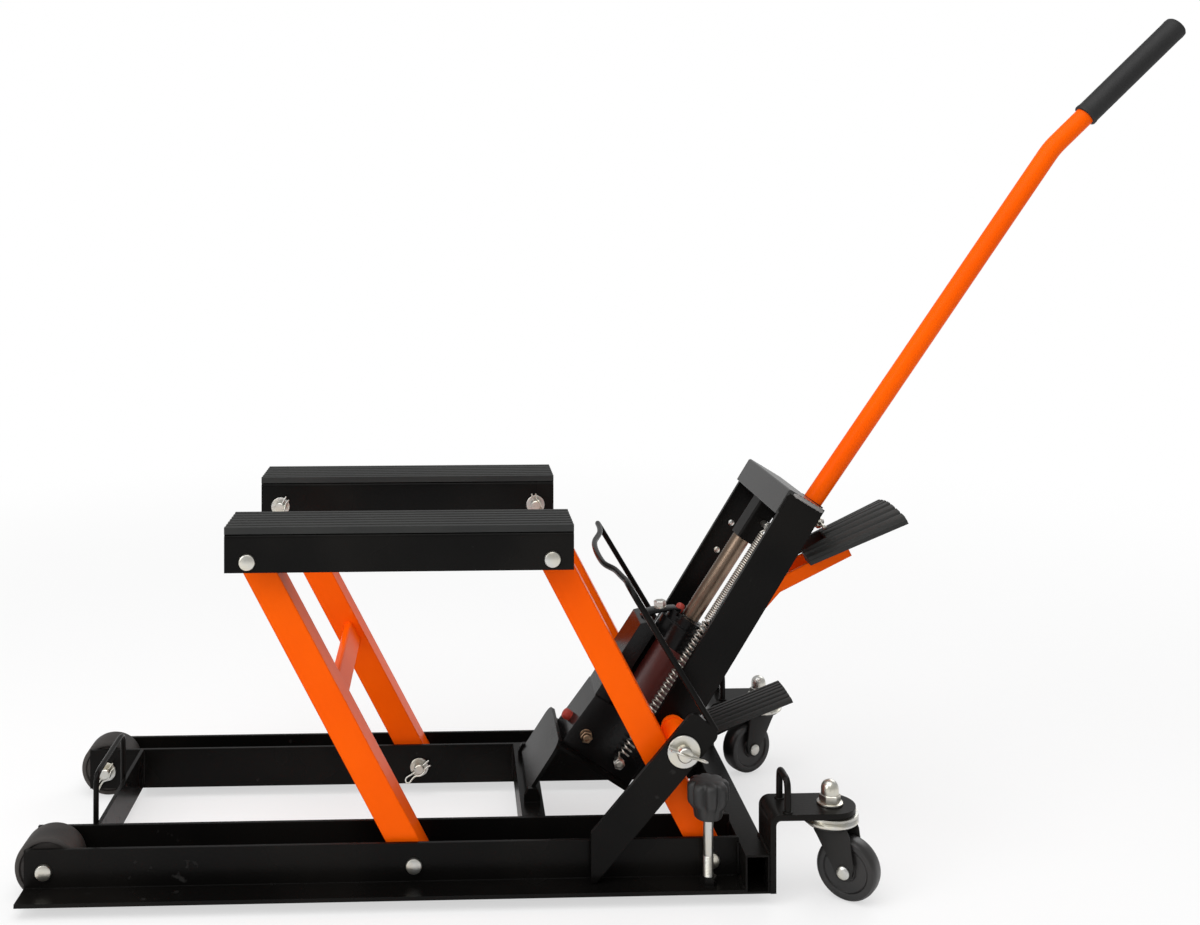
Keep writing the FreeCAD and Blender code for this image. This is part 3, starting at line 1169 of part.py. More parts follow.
def level_screw(name, side):
    body = turned(f"level_screw_{name}", [
        ("screw_foot", "knob_bottom", "screw_radius"),
        ("knob_bottom", "knob_bottom + lobe_groove", "knob_radius - lobe_groove / 2"),
        ("knob_bottom + lobe_groove", "knob_top - lobe_groove", "knob_radius"),
        ("knob_top - lobe_groove", "knob_top", "knob_radius - lobe_groove / 2")])
    lobes = sketch(body, "YZ_Plane", "Grooves", "knob_bottom - overrun")
    for i in range(int(num("knob_lobes"))):
        turn = (i + 0.5) * 360 / num("knob_lobes")
        ring(lobes, f"(knob_radius + lobe_groove / 4) * cos({turn})",
             f"(knob_radius + lobe_groove / 4) * sin({turn})", "lobe_groove / 1.5")
    pocket(body, lobes, "knob_top - knob_bottom + 2 * overrun", midplane=False, back=True)
    upright = Rotation(Vector(0, 1, 0), -90)
    body.Placement = Placement(Vector(num("screw_x"), side * num("screw_y"), 0), upright)


for name, side in SIDES:
    level_screw(name, side)


# Casters: a pressed fork with its race and stem, and a solid wheel

def caster(name, side, heading):
    body = new_body(f"caster_fork_{name}")
    race_top = "bracket_top - bracket_thick - race_gap"
    plate = sketch(body, "XY_Plane", "Race", "race_bottom")
    ring(plate, "0", "0", "race_radius")
    pad(body, plate, f"{race_top} - race_bottom")
    stem = sketch(body, "XY_Plane", "Stem", "race_bottom")
    ring(stem, "0", "0", "stem_radius")
    pad(body, stem, "bracket_top + overrun - race_bottom")
    nut = sketch(body, "XY_Plane", "Nut", "bracket_top + clearance")
    ring(nut, "0", "0", "acorn_radius * 1.4")
    pad(body, nut, "washer_thick")
    dome = sketch(body, "XY_Plane", "Acorn", "bracket_top + clearance + washer_thick")
    ring(dome, "0", "0", "acorn_radius")
    pad(body, dome, "acorn_top - bracket_top - clearance - washer_thick")
    doc.recompute()
    base = body.Tip
    crown = [f"Edge{i}" for i, e in enumerate(base.Shape.Edges, 1)
             if e.BoundBox.ZMin > num("acorn_top") - 0.1 and e.BoundBox.ZLength < 0.1]
    soft = body.newObject("PartDesign::Chamfer", "Dome")
    soft.Base = (base, crown)
    soft.setExpression("Size", bound("acorn_radius / 2"))
    doc.recompute()
    for cheek in (-1, 1):
        leg = sketch(body, "XZ_Plane", "Leg", f"-{cheek} * (caster_wide / 2 + fork_gap + fork_wall / 2)")
        low = "caster_radius - fork_wide / 3"
        outline(leg, [("-fork_wide / 2", "race_bottom"), ("fork_wide", "race_bottom"),
                      ("trail + fork_wide / 2.4", "caster_radius"), ("trail + fork_wide / 6", low),
                      ("trail - fork_wide / 6", low), ("trail - fork_wide / 2.4", "caster_radius")])
        pad(body, leg, "fork_wall", midplane=True)
    axle = sketch(body, "XZ_Plane", "Axle")
    ring(axle, "trail", "caster_radius", "axle_radius")
    pad(body, axle, "caster_wide + 2 * (fork_gap + fork_wall) + axle_nut", midplane=True)
    swivel = Vector(num("swivel_x"), side * num("swivel_y"), 0)
    place = Placement(swivel, Rotation(Vector(0, 0, 1), num(heading)))
    body.Placement = place
    wheel = turned(f"caster_wheel_{name}", [
        ("-caster_wide / 2", "-caster_wide / 2 + tyre_round", "caster_radius - tyre_round / 2"),
        ("-caster_wide / 2 + tyre_round", "caster_wide / 2 - tyre_round", "caster_radius"),
        ("caster_wide / 2 - tyre_round", "caster_wide / 2", "caster_radius - tyre_round / 2")])
    bore = sketch(wheel, "YZ_Plane", "Bore")
    ring(bore, "0", "0", "axle_radius + fit")
    pocket(wheel, bore, "2 * caster_wide")
    centre = Placement(Vector(num("trail"), 0, num("caster_radius")), Rotation(Vector(0, 0, 1), 90))
    wheel.Placement = place * centre


for (name, side), heading in zip(SIDES, ("near_trail", "far_trail")):
    caster(name, side, heading)

doc.recompute()

# The origin lies on the floor under the middle of the whole lift, grip included.
front_end = num("roller_x - roller_radius")
back_end = max(obj.Shape.BoundBox.XMax for obj in PARTS.values())
shift = Vector(-(front_end + back_end) / 2, 0, 0)
TOP_LEVEL = {}
for label, obj in PARTS.items():
    shape = obj.Shape.copy()
    shape.translate(shift)
    TOP_LEVEL[label] = shape

for obj in doc.Objects:
    if "Invalid" in obj.State or "Error" in obj.State:
        raise ValueError(f"{obj.Label} failed: {obj.State}")
for label, shape in TOP_LEVEL.items():
    if shape.isNull() or not shape.isValid() or shape.Volume <= 0:
        raise ValueError(f"{label} is not a sound solid")

os.makedirs("parts", exist_ok=True)
for label, shape in TOP_LEVEL.items():
    shape.exportStep(f"parts/{label}.step")

print("nodes", len(TOP_LEVEL))
places = {"shift": shift, "tower_pin": TOWER_PIN + shift, "hinge": HINGE + shift}
for label, point in places.items():
    print("place", label, round(point.x, 4), round(point.y, 4), round(point.z, 4))
print("spring gap", round(spring_gap(), 3))
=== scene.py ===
# The studio round the lift: the camera at the photograph's angle, two soft lamps and a pale room.
# The lift is black and orange powder-coated steel, so the room is bright and the lamps are wide.

import math

import bpy
from mathutils import Matrix, Vector


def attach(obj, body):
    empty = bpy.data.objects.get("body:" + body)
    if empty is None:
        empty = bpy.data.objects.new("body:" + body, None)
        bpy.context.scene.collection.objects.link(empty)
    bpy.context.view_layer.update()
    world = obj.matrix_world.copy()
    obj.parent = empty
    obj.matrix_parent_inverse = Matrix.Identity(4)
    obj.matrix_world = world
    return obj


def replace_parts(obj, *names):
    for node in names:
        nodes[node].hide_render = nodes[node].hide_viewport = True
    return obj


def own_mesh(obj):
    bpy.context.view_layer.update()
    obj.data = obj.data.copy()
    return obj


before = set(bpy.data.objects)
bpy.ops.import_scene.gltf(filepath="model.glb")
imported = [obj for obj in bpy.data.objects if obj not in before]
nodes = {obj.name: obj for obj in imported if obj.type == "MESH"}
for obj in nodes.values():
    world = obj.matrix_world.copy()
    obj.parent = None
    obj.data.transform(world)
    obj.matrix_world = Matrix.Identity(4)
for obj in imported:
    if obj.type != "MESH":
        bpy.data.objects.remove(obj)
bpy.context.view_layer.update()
scene = bpy.context.scene
scene.view_settings.view_transform = "Standard"

lens = bpy.data.cameras.new("camera")
lens.sensor_width = 36.0
lens.lens = 40.2
lens.shift_x = 0.0806
lens.shift_y = -0.1968
lens.clip_end = 80.0
camera = bpy.data.objects.new("camera", lens)
camera.location = (-0.2056, -1.5293, 0.6879)
camera.rotation_euler = (math.pi / 2, 0.0, -0.0403)
scene.collection.objects.link(camera)
scene.camera = camera

LAMPS = {
    "lamp_over": ((-0.5, -0.9, 2.6), (0.0, 0.0, 0.2), 2.6, 42.0),
    "lamp_left": ((-2.6, -1.6, 1.5), (0.0, 0.0, 0.3), 1.6, 26.0),
    "lamp_back": ((1.8, 2.2, 1.9), (0.1, 0.0, 0.3), 1.6, 20.0),
}
for name, (place, aim, size, power) in LAMPS.items():
    lamp = bpy.data.lights.new(name, "AREA")
    lamp.size = size
    lamp.energy = power
    holder = bpy.data.objects.new(name, lamp)
    holder.location = place
    holder.rotation_euler = (Vector(aim) - Vector(place)).to_track_quat("-Z", "Y").to_euler()
    scene.collection.objects.link(holder)


class Signal:
    """A socket of a node tree, written into sums as a number would be."""

    def __init__(self, socket):
        self.socket = socket

    def node(self, kind, settings, inputs, output=0):
        """Add a node: its settings first, then the values or links of its sockets."""
        tree = self.socket.id_data
        made = tree.nodes.new(kind)
        for key, setting in settings.items():
            setattr(made, key, setting)
        for key, value in inputs.items():
            if isinstance(value, Signal):
                tree.links.new(value.socket, made.inputs[key])
            else:
                made.inputs[key].default_value = value
        return Signal(made.outputs[output])

    def __add__(self, other):
        return self.node("ShaderNodeMath", {"operation": "ADD"}, {0: self, 1: other})

    def __mul__(self, other):
        return self.node("ShaderNodeMath", {"operation": "MULTIPLY"}, {0: self, 1: other})

    def __rsub__(self, other):
        return self.node("ShaderNodeMath", {"operation": "SUBTRACT"}, {0: other, 1: self})

    __radd__ = __add__
    __rmul__ = __mul__

    def noise(self, scale, detail=2.0):
        return self.node("ShaderNodeTexNoise", {}, {"Vector": self, "Scale": scale, "Detail": detail})

    def between(self, low, high):
        """0 below low, 1 above high, and smooth from one to the other."""
        return self.node("ShaderNodeMapRange", {"interpolation_type": "SMOOTHSTEP"},
                         {0: self, 1: low, 2: high})

    def blend(self, first, second):
        """The first colour where the signal is 0 and the second where it is 1."""
        return self.node("ShaderNodeMix", {"data_type": "RGBA"}, {0: self, 6: first, 7: second}, output=2)

    def stretched(self, along, scale):
        """Places drawn out along one direction, for brushed and turned steel."""
        turn = Vector(along).to_track_quat("X", "Z").inverted().to_euler()
        return self.node("ShaderNodeMapping", {}, {"Vector": self, "Rotation": turn, "Scale": scale})


room = bpy.data.worlds.new("room")
scene.world = room
room.use_nodes = True
room_light = room.node_tree.nodes["Background"]
room_light.inputs["Color"].default_value = (1.0, 1.0, 1.0, 1.0)
seen = Signal(room.node_tree.nodes.new("ShaderNodeLightPath").outputs["Is Camera Ray"])
ROOM_LEVEL = 0.5
strength = ROOM_LEVEL + seen * (1.0 - ROOM_LEVEL)
room.node_tree.links.new(strength.socket, room_light.inputs["Strength"])

bpy.ops.object.select_all(action="DESELECT")
bpy.ops.mesh.primitive_plane_add(size=60.0, location=(0.0, 0.0, -0.0004))
floor = bpy.context.object
floor.name = "floor"
floor_paint = bpy.data.materials.new("floor_paint")
floor_paint.use_nodes = True
floor_tree = floor_paint.node_tree
floor_shade = floor_tree.nodes["Principled BSDF"]
floor_shade.inputs["Base Color"].default_value = (0.93, 0.93, 0.93, 1.0)
floor_shade.inputs["Roughness"].default_value = 0.9
floor_shade.inputs["Specular IOR Level"].default_value = 0.0
floor_places = Signal(floor_tree.nodes.new("ShaderNodeTexCoord").outputs["Object"])
apart = floor_places.node("ShaderNodeVectorMath", {"operation": "LENGTH"}, {0: floor_places}, output=1)
floor_seen = Signal(floor_tree.nodes.new("ShaderNodeLightPath").outputs["Is Camera Ray"])
white = floor_seen.node("ShaderNodeEmission", {}, {"Color": (1.0, 1.0, 1.0, 1.0), "Strength": 1.0})
shown = floor_seen.node("ShaderNodeMixShader", {}, {0: floor_seen * (apart.between(0.7, 2.6) * 0.4 + 0.6),
                                                    1: Signal(floor_shade.outputs[0]), 2: white})
floor_tree.links.new(shown.socket, floor_tree.nodes["Material Output"].inputs["Surface"])
floor.data.materials.append(floor_paint)


# The welded frame: formed steel angles and rectangular tubes under a glossy black powder coat.
# The coat has a fine orange peel, a few dusty patches and small scuffs on its edges.

def surface(name, roughness, metallic=0.0):
    """A new material, its main shader and the places on the object."""
    material = bpy.data.materials.new(name)
    material.use_nodes = True
    shader = material.node_tree.nodes["Principled BSDF"]
    shader.inputs["Roughness"].default_value = roughness
    shader.inputs["Metallic"].default_value = metallic
    places = material.node_tree.nodes.new("ShaderNodeTexCoord").outputs["Object"]
    return material, shader, Signal(places)


def feed(shader, **signals):
    for name, signal in signals.items():
        socket = shader.inputs[name.replace("_", " ")]
        signal.socket.id_data.links.new(signal.socket, socket)


def relief(places, height, strength, distance, edge):
    """A bumped normal whose edges are broken as a coat or a file leaves them."""
    soft = places.node("ShaderNodeBevel", {"samples": 3}, {"Radius": edge})
    return places.node("ShaderNodeBump", {}, {"Height": height, "Strength": strength,
                                              "Distance": distance, "Normal": soft})


# The second colour is dust on most coats and a painted highlight on the weld beads. Scuffs take a paler tone
# of it: worn edges on most coats, painted glints on the beads.
def powder_coat(name, colour, dust_and_highlight, roughness, edge, shine=0.2):
    material, shader, places = surface(name, roughness)
    cloud = places.noise(6.0, 3.0)
    peel = places.noise(330.0, 2.0)
    scuff = places.noise(70.0, 5.0).between(0.66, 0.74) * places.noise(8.0, 2.0).between(0.5, 0.6)
    tint = cloud.between(0.35, 0.7).blend(colour, dust_and_highlight)
    wear_and_glint = [min(1.0, value * 1.5 + 0.02) for value in dust_and_highlight[:3]] + [1.0]
    shader.inputs["Specular IOR Level"].default_value = shine
    feed(shader, Base_Color=(scuff * 0.6).blend(tint, wear_and_glint),
         Roughness=roughness + cloud * 0.14 + scuff * 0.25,
         Normal=relief(places, peel + cloud * 0.4, 0.16, 0.0005, edge))
    return material


black_coat = powder_coat("black_coat", (0.0034, 0.0032, 0.0030, 1.0), (0.0078, 0.0070, 0.0062, 1.0), 0.2,
                         0.0012, 0.085)


def paint(finish, *names):
    for name in names:
        for slot in nodes[name].material_slots:
            slot.material = finish


paint(black_coat, "rail_outer_near", "rail_outer_far", "rail_inner_near", "rail_inner_far",
      "rear_cross_tube", "mid_cross_tube", "front_cross_member", "front_loop",
      "caster_bracket_near", "caster_bracket_far", "tie_ring_near", "tie_ring_far")

DATUM = -0.275878


def at(x, y, z):
    """A place in metres from the drawing's millimetres, which count from the front arm pins."""
    return Vector((x / 1000.0 + DATUM, y / 1000.0, z / 1000.0))


def alone(piece):
    bpy.ops.object.select_all(action="DESELECT")
    piece.select_set(True)
    bpy.context.view_layer.objects.active = piece


def fit(piece, body, finish, angle=35.0):
    """Finish a piece, smooth it up to an angle and fix it on a body."""
    alone(piece)
    bpy.ops.object.transform_apply(location=True, rotation=True, scale=True)
    piece.data.materials.clear()
    piece.data.materials.append(finish)
    bpy.ops.object.shade_smooth_by_angle(angle=math.radians(angle))
    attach(piece, body)
    return piece


def wire(name, points, radius, swell=None, kind="POLY", sides=2):
    """A rod or bead along a line, as a mesh. Swell gives each point's share of the radius."""
    line = bpy.data.curves.new(name, "CURVE")
    line.dimensions = "3D"
    line.bevel_depth = radius
    line.bevel_resolution = sides
    line.use_fill_caps = True
    line.resolution_u = 6
    run = line.splines.new(kind)
    run.points.add(len(points) - 1)
    for i, (point, place) in enumerate(zip(run.points, points)):
        point.co = (*place, 1.0)
        point.radius = swell[i] if swell else 1.0
    if kind == "NURBS":
        run.order_u = 4
        run.use_endpoint_u = True
    piece = bpy.data.objects.new(name, line)
    scene.collection.objects.link(piece)
    alone(piece)
    bpy.ops.object.convert(target="MESH")
    return bpy.context.object


def weld(name, start, end, size, body, finish):
    """A run of weld beads between two places."""
    count = max(6, int((end - start).length / 0.0024))
    points = [start.lerp(end, i / count) for i in range(count + 1)]
    swell = [0.5] + [1.0 if i % 2 else 0.8 for i in range(1, count)] + [0.5]
    fit(wire(name, points, size, swell), body, finish, 60.0)


def bent_rod(name, corners, bend, radius, body, finish):
    """A round rod bent smoothly at its corners."""
    points = [corners[0]]
    for before, corner, after in zip(corners, corners[1:], corners[2:]):
        points += [corner + (before - corner).normalized() * bend, corner,
                   corner + (after - corner).normalized() * bend]
    points.append(corners[-1])
    return fit(wire(name, points, radius, kind="NURBS", sides=4), body, finish, 80.0)


BEAD = 0.0026
for side, near in ((-1, "near"), (1, "far")):
    inner = side * 99.0
    weld(f"weld_mid_{near}_front", at(148, inner, 20), at(148, inner, 57), BEAD, "base",
         black_coat)
    weld(f"weld_mid_{near}_back", at(173, inner, 20), at(173, inner, 57), BEAD, "base",
         black_coat)
    weld(f"weld_front_{near}", at(-297, inner, 17), at(-297, inner, 56), BEAD, "base",
         black_coat)
    weld(f"weld_lip_{near}", at(-316, inner, 17.5), at(-302, inner, 17.5), BEAD, "base",
         black_coat)
    weld(f"weld_back_{near}_outer", at(369.5, side * 152.5, 17), at(369.5, side * 152.5, 50), BEAD, "base",
         black_coat)
    weld(f"weld_back_{near}_inner", at(369.5, side * 105, 15), at(369.5, side * 105, 50), BEAD, "base",
         black_coat)
    weld(f"weld_flange_{near}", at(369.5, side * 156, 16.5), at(369.5, side * 182, 16.5), BEAD, "base",
         black_coat)
    weld(f"weld_bracket_{near}", at(395.5, side * 134.5, 15), at(395.5, side * 134.5, 49), BEAD, "base",
         black_coat)
    weld(f"weld_bracket_top_{near}", at(394.5, side * 137, 51.5), at(394.5, side * 183, 51.5), BEAD, "base",
         black_coat)


def collar(name, place, radius, size, body, finish):
    """A weld bead round the foot of a rod that stands on a plate."""
    count = 24
    points = []
    for i in range(count + 1):
        turn = 2 * math.pi * i / count
        points.append(place + Vector((radius * math.cos(turn), radius * math.sin(turn), 0.0)))
    swell = [1.0 if i % 2 else 0.75 for i in range(count + 1)]
    fit(wire(name, points, size, swell), body, finish, 60.0)


for side, near in ((-1, "near"), (1, "far")):
    for leg, across in (("in", 145.5), ("out", 180.5)):
        collar(f"weld_ring_{near}_{leg}", at(414, side * across, 92.4), 0.0038, 0.0015, "base", black_coat)
    corners = [at(414, side * 145.5, 91), at(414, side * 145.5, 124), at(414, side * 180.5, 124),
               at(414, side * 180.5, 91)]
    arch = bent_rod(f"tie_arch_{near}", corners, 0.013, 0.0035, "base", black_coat)
    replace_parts(arch, f"tie_ring_{near}")
for leg, across in (("near", -92), ("far", 27)):
    collar(f"weld_loop_{leg}", at(-304, across, 18.6), 0.0034, 0.0014, "base", black_coat)
corners = [at(-304, -92, 17), at(-304, -92, 106), at(-304, 27, 106), at(-304, 27, 17)]
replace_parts(bent_rod("bent_loop", corners, 0.018, 0.003, "base", black_coat), "front_loop")


# Headed steel pins through the rails, saddles and tower, zinc plated and a little yellow.
# Each carries a washer and is held by a wire clip, whose straight leg goes through the pin.

def plated(name, colour, cool, roughness):
    material, shader, places = surface(name, roughness, 1.0)
    cloud = places.noise(55.0, 3.0)
    grain = places.noise(900.0, 2.0)
    spot = places.noise(190.0, 4.0).between(0.62, 0.72)
    dull = [value * 0.62 for value in colour[:3]] + [1.0]
    feed(shader, Base_Color=(spot * 0.5).blend(cloud.between(0.3, 0.7).blend(colour, cool), dull),
         Roughness=roughness + cloud * 0.16 + spot * 0.12,
         Normal=relief(places, grain + spot * 0.5, 0.12, 0.0002, 0.0004))
    return material


zinc = plated("zinc", (0.66, 0.63, 0.54, 1.0), (0.60, 0.60, 0.58, 1.0), 0.24)


def turn_up(name, steps, facets=40):
    """A piece turned about its own Z axis from (height, radius) steps, in millimetres."""
    bpy.ops.object.select_all(action="DESELECT")
    height, radius = steps[0]
    bpy.ops.mesh.primitive_circle_add(vertices=facets, radius=radius / 1000.0, fill_type="NGON",
                                      location=(0.0, 0.0, 0.0))
    piece = bpy.context.object
    piece.name = name
    bpy.ops.object.mode_set(mode="EDIT")
    bpy.ops.mesh.select_all(action="SELECT")
    bpy.ops.transform.translate(value=(0.0, 0.0, height / 1000.0))
    for next_height, next_radius in steps[1:]:
        rise = (next_height - height) / 1000.0
        bpy.ops.mesh.extrude_region_move(TRANSFORM_OT_translate={"value": (0.0, 0.0, rise)})
        share = next_radius / radius
        if share != 1.0:
            bpy.ops.transform.resize(value=(share, share, 1.0),
                                     center_override=(0.0, 0.0, next_height / 1000.0))
        height, radius = next_height, next_radius
    bpy.ops.mesh.select_all(action="SELECT")
    bpy.ops.mesh.normals_make_consistent(inside=False)
    bpy.ops.object.mode_set(mode="OBJECT")
    return piece


def stand(piece, place, toward, spin=0.0):
    """Put a piece at its place, its own Z axis along a direction."""
    turn = Vector((0.0, 0.0, 1.0)).rotation_difference(Vector(toward)).to_matrix().to_4x4()
    piece.matrix_world = Matrix.Translation(place) @ turn @ Matrix.Rotation(spin, 4, "Z")
    alone(piece)
    bpy.ops.object.transform_apply(location=True, rotation=True, scale=True)
    return piece


def clip(name, middle, along, rise, pin_radius, body):
    """A hairpin clip: one leg through the pin, the other sprung over it, and a round head."""
    reach = pin_radius + 9.0
    outline = [(-reach, 0.0), (-3.0, 0.0), (reach - 2.0, 0.0), (reach + 2.0, -2.4), (reach + 6.5, -1.0),
               (reach + 7.5, 3.2), (reach + 4.0, 6.2), (reach - 1.0, 4.2), (pin_radius + 2.0, 3.6),
               (pin_radius - 1.0, 7.0), (0.0, 9.0), (1.0 - pin_radius, 7.0), (-pin_radius - 2.0, 3.8),
               (-reach + 1.0, 6.4)]
    along = Vector(along).normalized()
    rise = Vector(rise).normalized()
    points = [middle + along * u / 1000.0 + rise * v / 1000.0 for u, v in outline]
    return fit(wire(name, points, 0.00105, kind="NURBS", sides=3), body, zinc, 80.0)


def headed_pin(name, x, z, side, outer, inner, body, lean, washer=11.0):
    """A pin from outside to inside, with its head, washer and clip. Y counts from the middle."""
    shank = turn_up(f"{name}_pin", [(-4.0, 6.6), (-3.2, 7.9), (-1.0, 8.5), (0.0, 8.5), (0.05, 6.0),
                                    (outer - inner + 10.0, 6.0), (outer - inner + 11.0, 5.0)])
    stand(shank, at(x, side * outer, z), (0.0, -side, 0.0))
    disc = turn_up(f"{name}_washer", [(0.0, washer - 0.4), (0.3, washer), (1.7, washer), (2.0, washer - 0.4)])
    stand(disc, at(x, side * inner, z), (0.0, -side, 0.0))
    fit(disc, body, zinc)
    turn = math.radians(lean)
    along = (math.cos(turn), 0.0, math.sin(turn))
    clip(f"{name}_clip", at(x, side * (inner - 6.0), z), along,
         (-math.sin(turn), -side * 0.9, math.cos(turn)), 6.0, body)
    return fit(shank, body, zinc)


for side, near in ((-1, "near"), (1, "far")):
    first = headed_pin(f"front_arm_{near}", 34, 32, side, 152, 100, "base", -140)
    headed_pin(f"rear_arm_{near}", 342, 32, side, 152, 100, "base", -60)
    headed_pin(f"roller_{near}", -341, 32.5, side, 152, 100, "base", -125)
    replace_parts(first, f"rail_pins_{near}")
    body = f"saddle_{near}"
    first = headed_pin(f"saddle_front_{near}", -133, 350, side, 172, 97, body, -120)
    headed_pin(f"saddle_back_{near}", 175, 350, side, 172, 97, body, -70)
    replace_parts(first, f"saddle_pins_{near}")
    # The tower pin's head is inside the tower, and its washer and clip outside the prop.
    shank = turn_up(f"tower_pin_{near}_turned", [(86.5, 9.8), (87.3, 11.0), (90.4, 11.0), (90.4, 8.0),
                                                 (177.6, 8.0), (179.4, 6.9), (179.9, 6.0)])
    stand(shank, at(310, 0, 150.5), (0.0, side, 0.0))
    disc = turn_up(f"tower_washer_{near}", [(166.4, 16.4), (166.7, 16.8), (168.6, 16.8), (168.9, 16.4)])
    stand(disc, at(310, 0, 150.5), (0.0, side, 0.0))
    fit(disc, "rear_arms", zinc)
    clip(f"tower_clip_{near}", at(310, side * 174.4, 150.5), (0.94, 0.0, -0.34), (0.0, side, 0.15), 8.0,
         "rear_arms")
    fit(shank, "rear_arms", zinc)
    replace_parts(shank, f"tower_pin_{near}")


# The lifting arms: rectangular steel tube in an orange powder coat, with the tower pin's sleeves.
# The front pair is tied by a welded flat bar, and small beads show where it meets the tubes.

orange_coat = powder_coat("orange_coat", (1.0, 0.118, 0.0006, 1.0), (0.95, 0.100, 0.0006, 1.0), 0.24,
                           0.0026, 0.05)
paint(orange_coat, "rear_arm_near", "rear_arm_far", "front_arm_near", "front_arm_far", "arm_cross_bar")
arm_lean = Vector((-167.0, 0.0, 318.0)).normalized()
arm_square = Vector((-arm_lean.z, 0.0, arm_lean.x))
for side, near in ((-1, "near"), (1, "far")):
    for edge, along in (("low", 168.5), ("high", 193.5)):
        middle = at(34, side * 106.5, 32) + arm_lean * along / 1000.0
        weld(f"weld_bar_{near}_{edge}", middle - arm_square * 0.007, middle + arm_square * 0.002, 0.0018,
             "front_arms", orange_coat)
    points = []
    for i in range(29):
        turn = 2 * math.pi * i / 28
        points.append(at(310 + 13 * math.cos(turn), side * 106.4, 150.5 + 13 * math.sin(turn)))
    swell = [1.0 if i % 2 else 0.75 for i in range(29)]
    fit(wire(f"weld_sleeve_{near}", points, 0.0016, swell), "rear_arms", orange_coat, 60.0)


# The saddles: folded steel channels over the arm ends, each with a ribbed black rubber strip.
# The steel is as glossy as the frame, and the rubber is dull with a fine moulded grain.

def moulded(name, colour, pale, roughness, grain, depth, edge=0.0008):
    material, shader, places = surface(name, roughness)
    cloud = places.noise(11.0, 3.0)
    skin = places.noise(grain, 3.0)
    feed(shader, Base_Color=cloud.between(0.35, 0.7).blend(colour, pale),
         Roughness=roughness + cloud * 0.12 + skin * 0.08,
         Normal=relief(places, skin, 0.35, depth, edge))
    return material


saddle_rubber = moulded("saddle_rubber", (0.0055, 0.006, 0.0055, 1.0), (0.012, 0.0125, 0.011, 1.0), 0.5,
                         700.0, 0.0004)
paint(black_coat, "saddle_near", "saddle_far")
paint(saddle_rubber, "saddle_pad_near", "saddle_pad_far")


# The front rollers: wide moulded wheels on the rail pins, scuffed grey on their treads.
# Their sides are dished round a hub, and the tread's corners are well rounded.

tread = moulded("tread", (0.016, 0.014, 0.013, 1.0), (0.05, 0.042, 0.037, 1.0), 0.55, 240.0, 0.0006)
ROLLER = [(-19.0, 8.0), (-19.0, 11.5), (-16.8, 12.5), (-16.8, 26.0), (-18.6, 27.2), (-18.6, 29.5),
          (-17.4, 31.6), (-15.4, 32.4), (0.0, 32.5), (15.4, 32.4), (17.4, 31.6), (18.6, 29.5),
          (18.6, 27.2), (16.8, 26.0), (16.8, 12.5), (19.0, 11.5), (19.0, 8.0)]
for side, near in ((-1, "near"), (1, "far")):
    roller = turn_up(f"roller_{near}_moulded", ROLLER, 72)
    stand(roller, at(-341, side * 126, 32.5), (0.0, side, 0.0))
    fit(roller, f"roller_{near}", tread)
    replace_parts(roller, f"front_roller_{near}")


# The rear casters: a zinc swivel race, black pressed cheeks, a riveted axle and a solid wheel.
# The stem goes up through the bracket to a washer, a hex nut and a domed cap.

wheel_black = moulded("wheel_black", (0.008, 0.008, 0.008, 1.0), (0.02, 0.018, 0.017, 1.0), 0.28,
                       160.0, 0.0002)
fork_coat = powder_coat("fork_coat", (0.009, 0.009, 0.009, 1.0), (0.02, 0.019, 0.018, 1.0), 0.34, 0.0006)
TRAIL, WHEEL_UP = 0.02, 0.03175
CHEEK = [(-10.0, 76.0), (22.0, 76.0), (26.0, 68.0), (30.5, 38.0), (28.0, 27.0), (20.0, 21.5), (12.0, 25.0),
         (8.5, 34.0), (-8.0, 62.0), (-12.0, 68.0)]


def slab(name, outline, thick):
    """A flat plate in the XZ plane from its outline, in millimetres."""
    bpy.ops.object.select_all(action="DESELECT")
    bpy.ops.mesh.primitive_circle_add(vertices=len(outline), radius=0.01, fill_type="NGON",
                                      location=(0.0, 0.0, 0.0))
    piece = bpy.context.object
    piece.name = name
    for vertex, (x, z) in zip(piece.data.vertices, outline):
        vertex.co = (x / 1000.0, -thick / 2000.0, z / 1000.0)
    bpy.ops.object.mode_set(mode="EDIT")
    bpy.ops.mesh.select_all(action="SELECT")
    bpy.ops.mesh.extrude_region_move(TRANSFORM_OT_translate={"value": (0.0, thick / 1000.0, 0.0)})
    bpy.ops.mesh.select_all(action="SELECT")
    bpy.ops.mesh.normals_make_consistent(inside=False)
    bpy.ops.object.mode_set(mode="OBJECT")
    return piece


def soften(piece, width, segments=2):
    alone(piece)
    edge = piece.modifiers.new("edge", "BEVEL")
    edge.width = width / 1000.0
    edge.segments = segments
    edge.limit_method = "ANGLE"
    edge.angle_limit = math.radians(30.0)
    bpy.ops.object.modifier_apply(modifier="edge")
    return piece


def hexagon(name, across, tall, low=0.0):
    return turn_up(name, [(low, across * 0.52), (low + tall * 0.1, across * 0.577),
                          (low + tall * 0.9, across * 0.577), (low + tall, across * 0.52)], 6)


